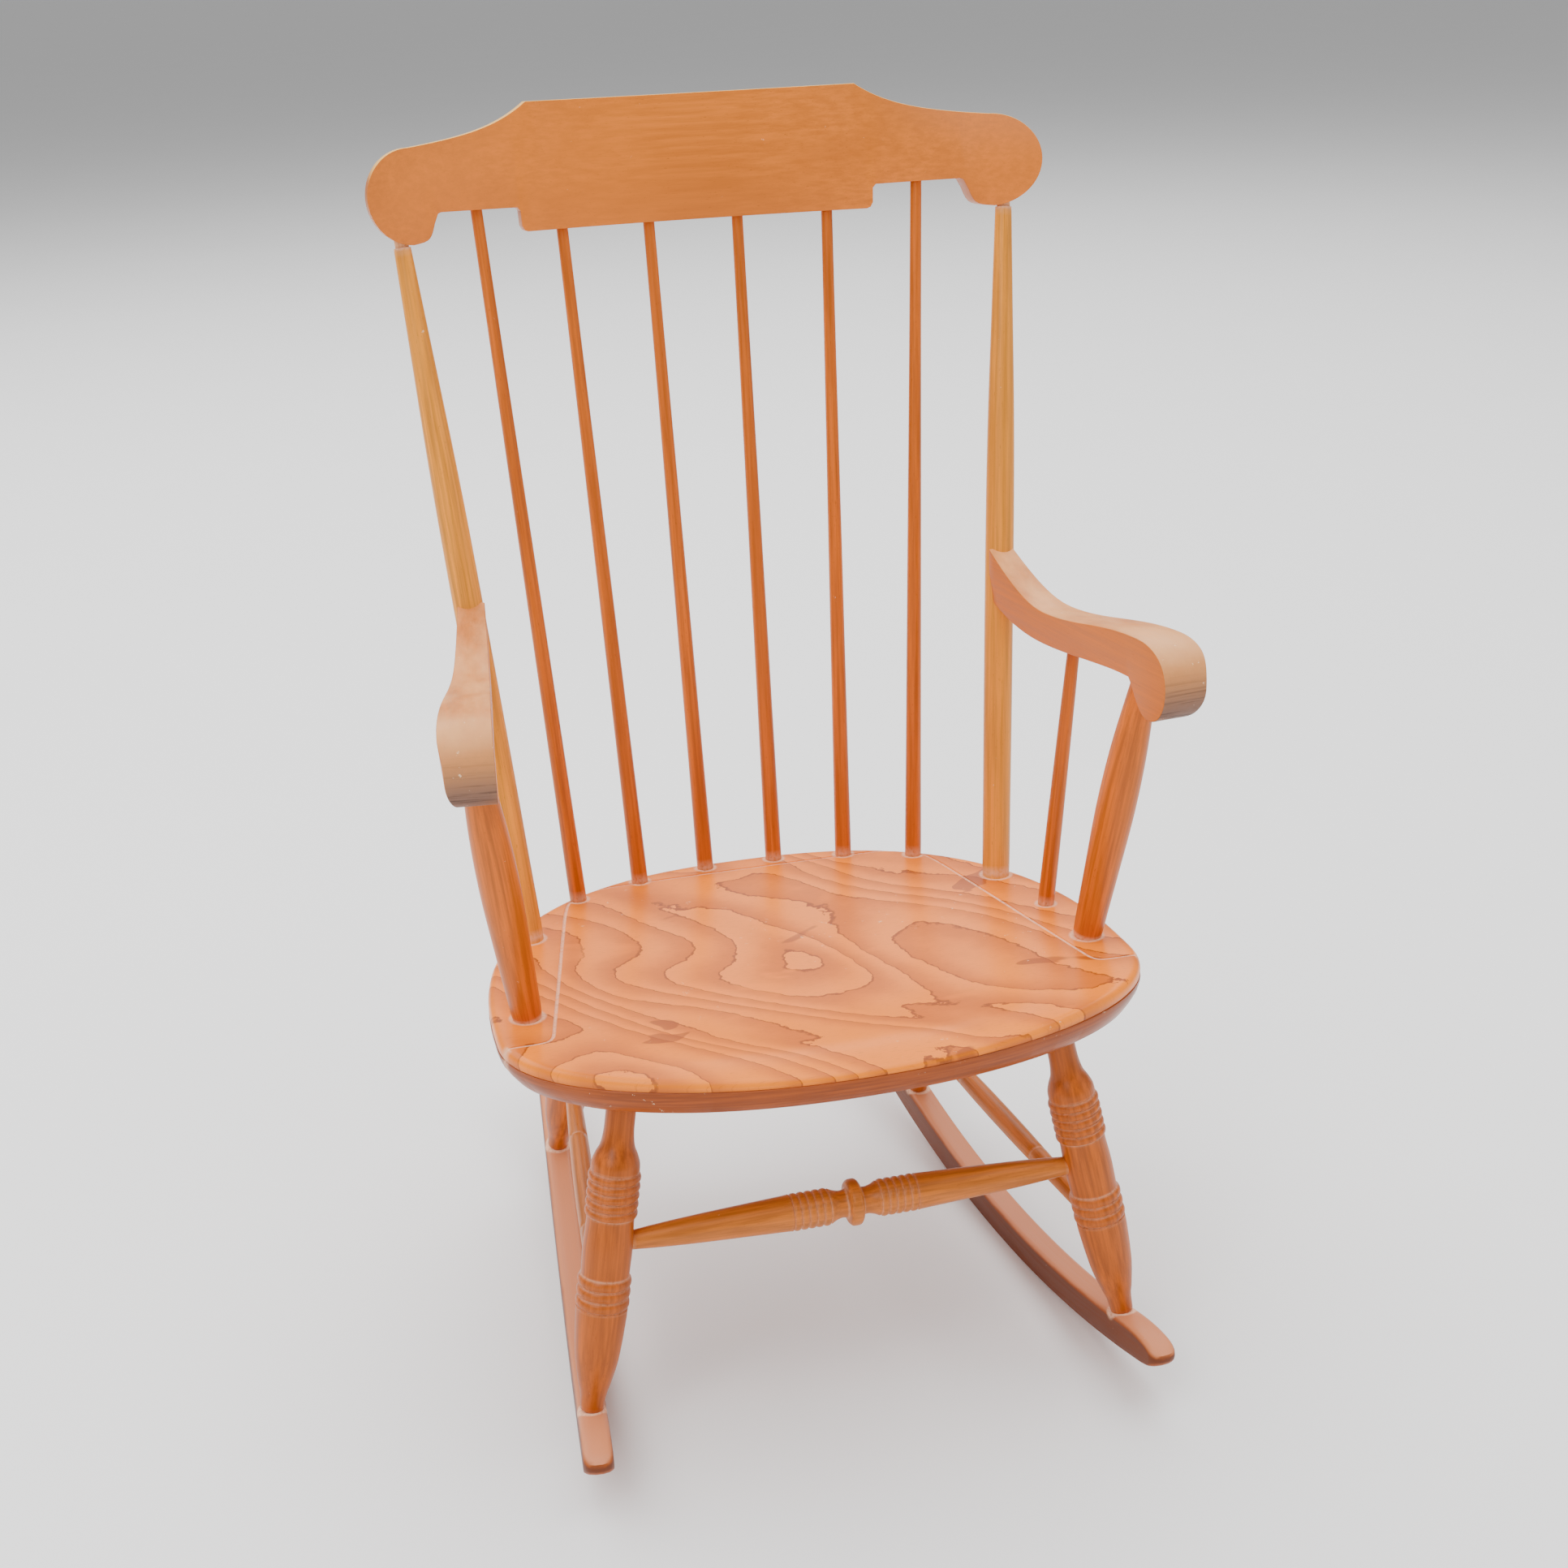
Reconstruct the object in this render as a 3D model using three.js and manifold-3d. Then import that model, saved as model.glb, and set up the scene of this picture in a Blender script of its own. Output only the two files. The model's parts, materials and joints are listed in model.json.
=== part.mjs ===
// A turned-wood rocking chair: plank seat, spindle back, scroll arms, four turned legs on two rockers.
//
// Design frame (everything but the rockers): x to the right seen from the front, y to the back,
// z up, with z = 0 on the seat's flat rim and y = 0 on the line between the two back posts.
// The rest frame has the floor at z = 0; the seat leans back in it by SEAT_TILT.

import * as THREE from 'three';
import { mergeVertices } from 'three/addons/utils/BufferGeometryUtils.js';
import Module from 'manifold-3d';

const wasm = await Module();
wasm.setup();

// ---- Driving dimensions, in millimetres and degrees ----

const SEAT_HEIGHT = 339;
const SEAT_TILT = 2;
const SEAT_WIDTH = 534;
const SEAT_BACK = 120;
const SEAT_FRONT = -318;
const WIDEST_BEHIND_FRONT = 138;
const SEAT_WIDEST = SEAT_FRONT + WIDEST_BEHIND_FRONT;
const SEAT_THICKNESS = 32;
const BACK_ROUNDNESS = 2.45;
const FRONT_ROUNDNESS = 2.15;
const DISH_DEPTH = 7;
const DISH_REACH = 0.8;
const FRONT_ROLL = 8;
const FRONT_ROLL_WIDTH = 45;
const RIM_BOTTOM = 0.45 * SEAT_THICKNESS;
const GROOVE_WIDTH = 3.6;
const GROOVE_DEPTH = 1.5;

// How far the feet of posts and the heads of legs stand in from the seat's edges.
const POST_INSET = 55;
const ARM_POST_INSET = 29;
const ARM_SPINDLE_INSET = 37;
const FRONT_LEG_INSET = 89;
const REAR_LEG_INSET = 121;
const ARM_POST_BEHIND_FRONT = 165;
const ARM_SPINDLE_BEHIND_FRONT = 240;
const FRONT_LEG_BEHIND_FRONT = 89;
const REAR_LEG_BEFORE_BACK = 58;

const POST_SPACING = SEAT_WIDTH - 2 * POST_INSET;
const ARM_POST_SPACING = SEAT_WIDTH - 2 * ARM_POST_INSET;
const ARM_POST_FOOT_Y = SEAT_FRONT + ARM_POST_BEHIND_FRONT;
const ARM_SPINDLE_SPACING = SEAT_WIDTH - 2 * ARM_SPINDLE_INSET;
const ARM_SPINDLE_FOOT_Y = SEAT_FRONT + ARM_SPINDLE_BEHIND_FRONT;
const FRONT_LEG_HEAD = [SEAT_WIDTH / 2 - FRONT_LEG_INSET, SEAT_FRONT + FRONT_LEG_BEHIND_FRONT];
const REAR_LEG_HEAD = [SEAT_WIDTH / 2 - REAR_LEG_INSET, SEAT_BACK - REAR_LEG_BEFORE_BACK];

const CREST_BOW = 480;
const CREST_THICKNESS = 18;
const CREST_HEIGHT = 104;
const CREST_BOTTOM = 576;
const CREST_BEHIND_SEAT = 39;
const CREST_SETBACK = SEAT_BACK + CREST_BEHIND_SEAT;
const CREST_LEAN = 4;
const CREST_STEP = 20;
const POST_FLARE = 45;
const POST_HEAD_SPACING = POST_SPACING + 2 * POST_FLARE;
const EAR_RADIUS = 38;
const EAR_HEIGHT_SHARE = 0.3365;
const EAR_CENTRE = EAR_HEIGHT_SHARE * CREST_HEIGHT;
const EAR_INSET = 12;
const EAR_SPACING = POST_HEAD_SPACING - 2 * EAR_INSET;
const EAR_NOTCH_SPACING = EAR_SPACING - EAR_RADIUS;
const SHOULDER_LENGTH = 104;
const CREST_FLAT = EAR_SPACING - 2 * SHOULDER_LENGTH;
const STEP_INSET = 93.5;
const CREST_STEP_WIDTH = EAR_SPACING - 2 * STEP_INSET;

const SPINDLES = 6;
const SPINDLE_FOOT_ARC = 361;
const SPINDLE_FOOT_INSET = 12;
const SPINDLE_FOOT_SHARE = 0.74;
const SPINDLE_FOOT_SPREAD = SPINDLE_FOOT_SHARE * POST_SPACING;
const SPINDLE_HEAD_SHARE = 0.722;

const ARM_LENGTH = 299;
const ARM_REAR_WIDTH = 23;
const ARM_FRONT_WIDTH = 41;
const ARM_SPLAY = 7.1;
const ARM_REAR_TOP = 291;
const ARM_REAR_HEIGHT = 43;
const ARM_INSET = ARM_REAR_WIDTH / 2;
const ARM_COPE = 5;

const FRONT_FOOT = 183;
const REAR_FOOT = 237;
const FOOT_INSET = 44;
const FOOT_SPACING = SEAT_WIDTH - 2 * FOOT_INSET;
const ROCKER_RADIUS = 1050;
const ROCKER_HEIGHT = 27;
const ROCKER_THICKNESS = 24;
const ROCKER_TOE = 6;
const ROCKER_FRONT_REACH = 79;
const ROCKER_REAR_REACH = 207;
const ROCKER_FRONT = FRONT_FOOT + ROCKER_FRONT_REACH;
const ROCKER_REAR = REAR_FOOT + ROCKER_REAR_REACH;
const ROCKER_FACET = 2.4;
const ROLL_CENTRE_BEHIND_FRONT = 234;
const ROLL_CENTRE_Y = SEAT_FRONT + ROLL_CENTRE_BEHIND_FRONT;

// Where stretchers meet the legs, as shares of a leg's length up from its rocker.
const FRONT_STRETCHER_UP = 0.514;
const REAR_STRETCHER_UP = 0.488;
const SIDE_STRETCHER_FRONT_UP = 0.296;
const SIDE_STRETCHER_REAR_UP = 0.355;
const LEG_SKIN = 17.5;

const SCREW_LENGTH = 42;
const PLUG_LENGTH = 5;
const POST_SKIN = 12;

const CLEARANCE = 0.3;
const SEAT_TENON = 0.45 * SEAT_THICKNESS;
const HEAD_TENON = 16;
const ROCKER_TENON = 0.52 * ROCKER_HEIGHT;
const STRETCHER_TENON = 13;

const TURNING_SIDES = 12;
const SPINDLE_SIDES = 10;
const SEAT_SIDES = 48;

// ---- Helpers ----

const rad = THREE.MathUtils.degToRad;
const at = (x, y, z) => new THREE.Vector3(x, y, z);

// A geometry without seams: shared corners merged and empty triangles dropped.
function closed(geometry) {
  const bare = geometry.clone();
  bare.deleteAttribute('normal');
  bare.deleteAttribute('uv');
  const merged = mergeVertices(bare, 1e-3);
  const corners = merged.index.array;
  const kept = [];
  for (let i = 0; i < corners.length; i += 3) {
    const [a, b, c] = corners.slice(i, i + 3);
    if (a !== b && b !== c && c !== a) kept.push(a, b, c);
  }
  merged.setIndex(kept);
  return merged;
}

function solid(geometry, matrix = new THREE.Matrix4()) {
  const shape = closed(geometry).applyMatrix4(matrix);
  return new wasm.Manifold(new wasm.Mesh({
    numProp: 3,
    vertProperties: new Float32Array(shape.attributes.position.array),
    triVerts: new Uint32Array(shape.index.array),
  }));
}

function geometryOf(manifold) {
  const mesh = manifold.getMesh();
  const geometry = new THREE.BufferGeometry();
  geometry.setAttribute('position', new THREE.BufferAttribute(new Float32Array(mesh.vertProperties), 3));
  geometry.setIndex([...mesh.triVerts]);
  return geometry;
}

function cut(blank, cutters) {
  return cutters.reduce((left, cutter) => left.subtract(cutter), blank);
}

// The matrix that stands a +z geometry on `from`, pointing at `to`.
function aim(from, to) {
  const direction = to.clone().sub(from).normalize();
  const turn = new THREE.Quaternion().setFromUnitVectors(at(0, 0, 1), direction);
  return new THREE.Matrix4().compose(from, turn, at(1, 1, 1));
}

// A turning's profile is a list of [distance along the axis, radius].
function lathe(profile, sides) {
  const ends = [[profile[0][0], 0], ...profile, [profile.at(-1)[0], 0]];
  const points = ends.map(([along, radius]) => new THREE.Vector2(radius, along));
  return new THREE.LatheGeometry(points, sides).rotateX(Math.PI / 2);
}

function grown(profile) {
  const last = profile.length - 1;
  return profile.map(([along, radius], i) => {
    const end = (i === last ? CLEARANCE : 0) - (i === 0 ? CLEARANCE : 0);
    return [along + end, radius + CLEARANCE];
  });
}

// A turned piece between two points: its profile, where it stands and the hole that takes it.
function turning(name, profile, from, to, sides = TURNING_SIDES) {
  const place = aim(from, to);
  const length = from.distanceTo(to);
  return { name, profile, place, length, sides, hole: solid(lathe(grown(profile), sides), place) };
}

function mesh(name, geometry, colour, roughness = 0.5) {
  const material = new THREE.MeshStandardMaterial({ color: colour, roughness, metalness: 0 });
  const made = new THREE.Mesh(geometry, material);
  made.name = name;
  made.geometry.computeVertexNormals();
  return made;
}

function turnedMesh(piece, colour, holes = []) {
  const local = piece.place.clone().invert();
  const blank = lathe(piece.profile, piece.sides);
  let geometry = closed(blank);
  if (holes.length > 0) {
    geometry = geometryOf(cut(solid(blank, piece.place), holes)).applyMatrix4(local);
  }
  const made = mesh(piece.name, geometry, colour);
  made.applyMatrix4(piece.place);
  return made;
}

// ---- Rest frame: rockers roll about a centre above the floor ----

const rollFlat = ROCKER_RADIUS * Math.cos(rad(ROCKER_FACET / 2));
const rest = new THREE.Matrix4().makeTranslation(0, 0, rollFlat)
  .multiply(new THREE.Matrix4().makeRotationX(-rad(SEAT_TILT)))
  .multiply(new THREE.Matrix4().makeTranslation(0, -ROLL_CENTRE_Y, SEAT_HEIGHT - ROCKER_RADIUS));
const unrest = rest.clone().invert();

const toe = rad(ROCKER_TOE);
const frontFootX = FOOT_SPACING / 2;
const rockerMidX = frontFootX - FRONT_FOOT * Math.sin(toe);

// A point on the rocker's top edge, `along` its length from the roll centre, in the rest frame.
function rockerTop(side, along) {
  const radius = ROCKER_RADIUS - ROCKER_HEIGHT;
  const angle = Math.asin(along / radius) - rad(SEAT_TILT);
  const reach = radius * Math.sin(angle);
  const x = rockerMidX - reach * Math.sin(toe);
  return at(side * x, reach * Math.cos(toe), rollFlat - radius * Math.cos(angle));
}

// ---- Turned profiles ----

// Beads between two distances: a groove, a crown and the next groove, repeated.
function beads(start, end, count, radius, depth) {
  const pitch = (end - start) / count;
  const profile = [];
  for (let i = 0; i < count; i++) {
    const foot = start + i * pitch;
    profile.push([foot, radius - depth], [foot + pitch / 2, radius]);
  }
  profile.push([end, radius - depth]);
  return profile;
}

function postProfile(length) {
  return [
    [-SEAT_TENON, 9.5], [-1, 9.5], [3, 12], [length * 0.3, 12.6], [length * 0.55, 12.4],
    [length * 0.78, 10.4], [length - 3, 6.8], [length, 5.6], [length + HEAD_TENON, 5.6],
  ];
}

function spindleProfile(length) {
  return [
    [-SEAT_TENON, 5.8], [-0.5, 5.8], [2, 7.4], [length * 0.15, 7], [length * 0.5, 6.1],
    [length, 4.8], [length + HEAD_TENON, 4.8],
  ];
}

function armPostProfile(length) {
  return [
    [-SEAT_TENON, 9.5], [-1, 9.5], [3, 12], [length * 0.25, 14.2], [length * 0.5, 16],
    [length * 0.72, 15], [length * 0.92, 11.5], [length + 2, 9.5], [length + HEAD_TENON, 9.5],
  ];
}

function armSpindleProfile(length) {
  return [
    [-SEAT_TENON, 5.6], [-0.5, 5.6], [2, 7], [length * 0.3, 6.8], [length, 5.2],
    [length + HEAD_TENON, 5.2],
  ];
}

// Distances up a leg, as shares of the reference leg length that its turning was drawn at.
function legProfile(length) {
  const share = length / 272;
  const lower = beads(89 * share, 116 * share, 3, 21.5, 2.2);
  const upper = beads(165 * share, 202 * share, 5, 21, 2.2);
  return [
    [-ROCKER_TENON, 6.5], [-0.5, 6.5], [1.5, 9.4], [14 * share, 10.6], [25 * share, 13.4],
    [42 * share, 17], [60 * share, 19], [80 * share, 20.4], ...lower,
    [122 * share, 19.4], [140 * share, 19.8], [158 * share, 19], ...upper,
    [210 * share, 19], [224 * share, 13.6], [236 * share, 12],
    [length - 3, 11.8], [length, 9.5], [length + SEAT_TENON, 9.5],
  ];
}

function frontStretcherProfile(length) {
  const middle = length / 2;
  const ringNear = 21;
  const ringFar = 52;
  const left = beads(middle - ringFar, middle - ringNear, 5, 15.2, 1.6);
  const right = beads(middle + ringNear, middle + ringFar, 5, 15.2, 1.6);
  return [
    [-STRETCHER_TENON, 7], [0, 7], [24, 9.4], [middle - ringFar - 4, 14.6], ...left,
    [middle - 11, 11], [middle - 6, 12], [middle - 5, 17], [middle - 2, 19],
    [middle + 2, 19], [middle + 5, 17], [middle + 6, 12], [middle + 11, 11], ...right,
    [middle + ringFar + 4, 14.6], [length - 24, 9.4], [length, 7], [length + STRETCHER_TENON, 7],
  ];
}

function plainStretcherProfile(length) {
  const middle = length / 2;
  return [
    [-STRETCHER_TENON, 5.6], [0, 5.6], [16, 7], [middle - 60, 8.6], [middle, 9.2],
    [middle + 60, 8.6], [length - 16, 7], [length, 5.6], [length + STRETCHER_TENON, 5.6],
  ];
}

function screwProfile(length) {
  return [[0, 3.6], [1.2, 3.6], [3.2, 2], [length - 4, 2], [length, 0.6]];
}

function plugProfile(length) {
  return [[0, 4.2], [length, 4.2]];
}

// ---- Seat ----

// A point of the seat's outline, scaled about the middle of its widest line.
function seatPoint(angle, scale) {
  const back = Math.sin(angle) > 0;
  const power = 2 / (back ? BACK_ROUNDNESS : FRONT_ROUNDNESS);
  const depth = back ? SEAT_BACK - SEAT_WIDEST : SEAT_WIDEST - SEAT_FRONT;
  const wide = Math.sign(Math.cos(angle)) * Math.abs(Math.cos(angle)) ** power;
  const deep = Math.sign(Math.sin(angle)) * Math.abs(Math.sin(angle)) ** power;
  return [scale * wide * SEAT_WIDTH / 2, SEAT_WIDEST + scale * deep * depth];
}

function seatBlank() {
  const rollStart = SEAT_FRONT + FRONT_ROLL_WIDTH;
  const inset = (distance) => 1 - distance / (SEAT_WIDTH / 2);
  const rings = [
    [inset(14), -SEAT_THICKNESS], [inset(5), -SEAT_THICKNESS * 0.75], [1, -RIM_BOTTOM],
    [1, -6], [inset(2), -1.8], [inset(6), 0], [inset(16), 0], [DISH_REACH, 0],
    [0.6, 0], [0.4, 0], [0.2, 0],
  ];
  const sag = (scale) => (scale < DISH_REACH ? DISH_DEPTH * (1 - (scale / DISH_REACH) ** 2) ** 1.5 : 0);
  const roll = (y) => FRONT_ROLL * Math.max(0, (rollStart - y) / FRONT_ROLL_WIDTH) ** 2;
  const positions = [];
  for (const [scale, z] of rings) {
    for (let i = 0; i < SEAT_SIDES; i++) {
      const [x, y] = seatPoint((i / SEAT_SIDES) * 2 * Math.PI, scale);
      const fade = Math.max(0, 1 + z / RIM_BOTTOM);
      positions.push(x, y, z - sag(scale) - roll(y) * fade);
    }
  }
  const bottomCentre = positions.length / 3;
  positions.push(0, SEAT_WIDEST, -SEAT_THICKNESS);
  positions.push(0, SEAT_WIDEST, -DISH_DEPTH);
  const index = [];
  const topStart = (rings.length - 1) * SEAT_SIDES;
  for (let i = 0; i < SEAT_SIDES; i++) {
    const next = (i + 1) % SEAT_SIDES;
    for (let ring = 0; ring < rings.length - 1; ring++) {
      const low = ring * SEAT_SIDES;
      const high = low + SEAT_SIDES;
      index.push(low + i, low + next, high + next, low + i, high + next, high + i);
    }
    index.push(bottomCentre, next, i);
    index.push(bottomCentre + 1, topStart + i, topStart + next);
  }
  const geometry = new THREE.BufferGeometry();
  geometry.setAttribute('position', new THREE.BufferAttribute(new Float32Array(positions), 3));
  geometry.setIndex(index);
  return geometry;
}

// The line routed in the seat: in from each side, round the arm post and behind the sitting place.
function seatGroove() {
  const side = SEAT_WIDTH / 2;
  const entry = ARM_POST_FOOT_Y - 50;
  const line = new THREE.Path();
  line.moveTo(side + 8, entry);
  line.lineTo(side - 18, entry);
  line.quadraticCurveTo(side - 42, entry, side - 47, entry + 28);
  line.lineTo(side - 87, 15);
  line.quadraticCurveTo(side - 103, SEAT_BACK - 30, side - 177, SEAT_BACK - 28);
  const half = line.getPoints(7);
  const mirrored = half.map((point) => new THREE.Vector2(-point.x, point.y)).reverse();
  const path = [...half, ...mirrored];
  const edge = (sign) => path.map((point, i) => {
    const before = path[Math.max(i - 1, 0)];
    const after = path[Math.min(i + 1, path.length - 1)];
    const along = after.clone().sub(before).normalize();
    return new THREE.Vector2(point.x - sign * along.y * GROOVE_WIDTH / 2,
      point.y + sign * along.x * GROOVE_WIDTH / 2);
  });
  const outline = new THREE.Shape([...edge(1), ...edge(-1).reverse()]);
  const strip = new THREE.ExtrudeGeometry(outline, { depth: GROOVE_DEPTH + 4, bevelEnabled: false });
  return strip.translate(0, 0, -GROOVE_DEPTH);
}

// ---- Crest rail ----

const crestPlace = new THREE.Matrix4().makeTranslation(0, CREST_SETBACK - CREST_BOW, CREST_BOTTOM)
  .multiply(new THREE.Matrix4().makeTranslation(0, CREST_BOW, 0))
  .multiply(new THREE.Matrix4().makeRotationX(-rad(CREST_LEAN)))
  .multiply(new THREE.Matrix4().makeTranslation(0, -CREST_BOW, 0));

// A point in the middle of the bent board's thickness, `angle` degrees round its bow.
function crestPoint(angle, height) {
  const radius = CREST_BOW + CREST_THICKNESS / 2;
  const point = at(radius * Math.sin(rad(angle)), radius * Math.cos(rad(angle)), height);
  return point.applyMatrix4(crestPlace);
}

const earBottom = EAR_CENTRE - EAR_RADIUS;

// The right half of the rail's outline, from the middle of its top edge round to its bottom edge.
function crestOutline() {
  const earX = EAR_SPACING / 2;
  const notchX = EAR_NOTCH_SPACING / 2;
  const outline = new THREE.Path();
  outline.moveTo(0, CREST_HEIGHT);
  outline.lineTo(CREST_FLAT / 2, CREST_HEIGHT);
  outline.bezierCurveTo(CREST_FLAT / 2 + 26, CREST_HEIGHT - 19, earX - 50, EAR_CENTRE + EAR_RADIUS + 6,
    earX, EAR_CENTRE + EAR_RADIUS);
  outline.absarc(earX, EAR_CENTRE, EAR_RADIUS, rad(90), rad(-86), true);
  outline.quadraticCurveTo(notchX + 6, earBottom + 2, notchX, CREST_STEP - 1);
  outline.lineTo(notchX - 4, CREST_STEP + 1);
  outline.lineTo(CREST_STEP_WIDTH / 2 + 4, CREST_STEP);
  outline.lineTo(CREST_STEP_WIDTH / 2 + 1, 5);
  outline.lineTo(CREST_STEP_WIDTH / 2 - 4, 0);
  const half = outline.getPoints(9);
  const mirrored = half.slice(1).map((point) => new THREE.Vector2(-point.x, point.y)).reverse();
  return new THREE.Shape([...half, ...mirrored]);
}

function crestBlank() {
  const reach = rad(40);
  const plan = new THREE.Shape();
  const front = CREST_BOW;
  const back = CREST_BOW + CREST_THICKNESS;
  const up = Math.PI / 2;
  plan.absarc(0, 0, back, up - reach, up + reach, false);
  plan.absarc(0, 0, front, up + reach, up - reach, true);
  const below = Math.min(0, earBottom) - 10;
  const tall = CREST_HEIGHT - below + 10;
  const bent = new THREE.ExtrudeGeometry(plan, { depth: tall, bevelEnabled: false, curveSegments: 16 });
  bent.translate(0, 0, below);
  const deep = back + 20;
  const sawn = new THREE.ExtrudeGeometry(crestOutline(), { depth: deep, bevelEnabled: false });
  sawn.rotateX(Math.PI / 2).translate(0, deep, 0);
  return solid(bent, crestPlace).intersect(solid(sawn, crestPlace));
}

// ---- Arms ----

// Side view of an arm: distance forward from its rear end, height above the seat's rim.
function armOutline() {
  const top = ARM_REAR_TOP;
  const nose = ARM_LENGTH;
  const outline = new THREE.Shape();
  outline.moveTo(0, top);
  outline.bezierCurveTo(40, top - 21, 66, top - 32.5, 98, top - 32.5);
  outline.bezierCurveTo(150, top - 32.5, nose - 99, top - 15.5, nose - 42, top - 15.5);
  outline.bezierCurveTo(nose - 14, top - 15.5, nose, top - 29, nose, top - 47);
  outline.bezierCurveTo(nose, top - 66, nose - 12, top - 78, nose - 26, top - 78);
  outline.bezierCurveTo(nose - 42, top - 78, nose - 48, top - 58, nose - 57, top - 50.5);
  outline.bezierCurveTo(nose - 99, top - 50, 140, top - 60.5, 90, top - 60.5);
  outline.bezierCurveTo(50, top - 60.5, 20, top - 52, 0, top - ARM_REAR_HEIGHT);
  outline.lineTo(0, top);
  return outline;
}

// Top view of an arm: its inner edge is straight and its outer edge flares to the front.
function armPlan(side) {
  const outline = new THREE.Shape();
  outline.moveTo(0, 0);
  outline.lineTo(0, -ARM_LENGTH - 1);
  outline.lineTo(side * (ARM_FRONT_WIDTH - 2), -ARM_LENGTH - 1);
  outline.lineTo(side * ARM_FRONT_WIDTH, -ARM_LENGTH + 22);
  const flare = new THREE.Vector2(side * (ARM_FRONT_WIDTH - 4), -ARM_LENGTH * 0.4);
  outline.quadraticCurveTo(flare.x, flare.y, side * ARM_REAR_WIDTH, 0);
  return outline;
}

const postFoot = (side) => at(side * POST_SPACING / 2, 0, 0);
const earAngle = THREE.MathUtils.radToDeg(Math.asin(POST_HEAD_SPACING / (2 * CREST_BOW + CREST_THICKNESS)));
const postHead = (side) => crestPoint(side * earAngle, earBottom + 0.5);

// Where the back post's axis passes the middle of the arm's rear end.
function armJoint(side) {
  const head = postHead(side);
  const share = (ARM_REAR_TOP - ARM_REAR_HEIGHT / 2) / head.z;
  return postFoot(side).lerp(head, share);
}

function armPlace(side) {
  const joint = armJoint(side);
  const corner = at(joint.x - side * ARM_INSET, joint.y - ARM_COPE, 0);
  return new THREE.Matrix4().makeTranslation(corner.x, corner.y, 0)
    .multiply(new THREE.Matrix4().makeRotationZ(side * rad(ARM_SPLAY)));
}

function armBlank(side) {
  const width = ARM_FRONT_WIDTH + 10;
  const profile = new THREE.ExtrudeGeometry(armOutline(), { depth: width, bevelEnabled: false, curveSegments: 7 });
  const standing = new THREE.Matrix4().makeBasis(at(0, -1, 0), at(0, 0, 1), at(-1, 0, 0));
  profile.applyMatrix4(standing).translate(side > 0 ? width : 0, 0, 0);
  const plan = new THREE.ExtrudeGeometry(armPlan(side), { depth: ARM_REAR_TOP + 20, bevelEnabled: false });
  return solid(profile, armPlace(side)).intersect(solid(plan, armPlace(side)));
}

// A point inside an arm: `forward` from its rear end, `across` from its inner face, at height z.
function armPoint(side, forward, across, z) {
  return at(side * across, -forward, z).applyMatrix4(armPlace(side));
}

// ---- Rockers ----

function rockerBlank(side) {
  const low = ROCKER_RADIUS;
  const high = ROCKER_RADIUS - ROCKER_HEIGHT;
  const facet = rad(ROCKER_FACET);
  const front = Math.asin(ROCKER_FRONT / low) + rad(SEAT_TILT);
  const rear = Math.asin(ROCKER_REAR / low) - rad(SEAT_TILT);
  const frontFacets = Math.floor(front / facet - 0.5);
  const rearFacets = Math.floor(rear / facet - 0.5);
  const point = (radius, angle) => new THREE.Vector2(radius * Math.sin(angle), -radius * Math.cos(angle));
  const outline = [];
  const tip = rad(3);
  outline.push(point(low - ROCKER_HEIGHT * 0.55, -front), point(low - ROCKER_HEIGHT * 0.2, -front + tip * 0.1));
  for (let i = -frontFacets; i <= rearFacets + 1; i++) {
    outline.push(point(low, (i - 0.5) * facet));
  }
  outline.push(point(low - ROCKER_HEIGHT * 0.3, rear + tip * 0.1), point(low - ROCKER_HEIGHT * 0.7, rear));
  outline.push(point(high, rear - tip * 0.3));
  for (let i = rearFacets - 1; i > -frontFacets; i--) {
    outline.push(point(high, i * facet));
  }
  outline.push(point(high, -front + tip), point(high + ROCKER_HEIGHT * 0.12, -front + tip * 0.45));
  const shape = new THREE.Shape(outline);
  const slab = new THREE.ExtrudeGeometry(shape, { depth: ROCKER_THICKNESS, bevelEnabled: false });
  slab.translate(0, 0, -ROCKER_THICKNESS / 2);
  const standing = new THREE.Matrix4().makeBasis(at(0, 1, 0), at(0, 0, 1), at(1, 0, 0));
  const turn = new THREE.Matrix4().makeRotationZ(side * toe);
  const place = new THREE.Matrix4().makeTranslation(side * rockerMidX, 0, rollFlat);
  return solid(slab.applyMatrix4(standing), place.multiply(turn));
}

// ---- Assembly ----

const WOOD = { seat: '#c8661c', crest: '#d9864a', post: '#d98a3d', spindle: '#c9692b', arm: '#d98f55' };
const DARK_WOOD = { leg: '#b5622f', stretcher: '#bd7038', rocker: '#a55a34' };
const STEEL = '#8d8a84';
const SIDES = [['left', -1], ['right', 1]];

const shaftLength = (from, to) => from.distanceTo(to);

function backPost([word, side]) {
  const from = postFoot(side);
  const to = postHead(side);
  return turning(`back_post_${word}`, postProfile(shaftLength(from, to)), from, to);
}

function backSpindle(number) {
  const share = (2 * number) / (SPINDLES - 1) - 1;
  const footAngle = share * Math.asin(SPINDLE_FOOT_SPREAD / 2 / SPINDLE_FOOT_ARC);
  const arcCentre = SEAT_BACK - SPINDLE_FOOT_INSET - SPINDLE_FOOT_ARC;
  const from = at(SPINDLE_FOOT_ARC * Math.sin(footAngle), arcCentre + SPINDLE_FOOT_ARC * Math.cos(footAngle), 0);
  const headAngle = share * earAngle * SPINDLE_HEAD_SHARE;
  const headX = (CREST_BOW + CREST_THICKNESS / 2) * Math.abs(Math.sin(rad(headAngle)));
  const to = crestPoint(headAngle, headX > CREST_STEP_WIDTH / 2 ? CREST_STEP : 0);
  return turning(`back_spindle_${number + 1}`, spindleProfile(shaftLength(from, to)), from, to, SPINDLE_SIDES);
}

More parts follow.
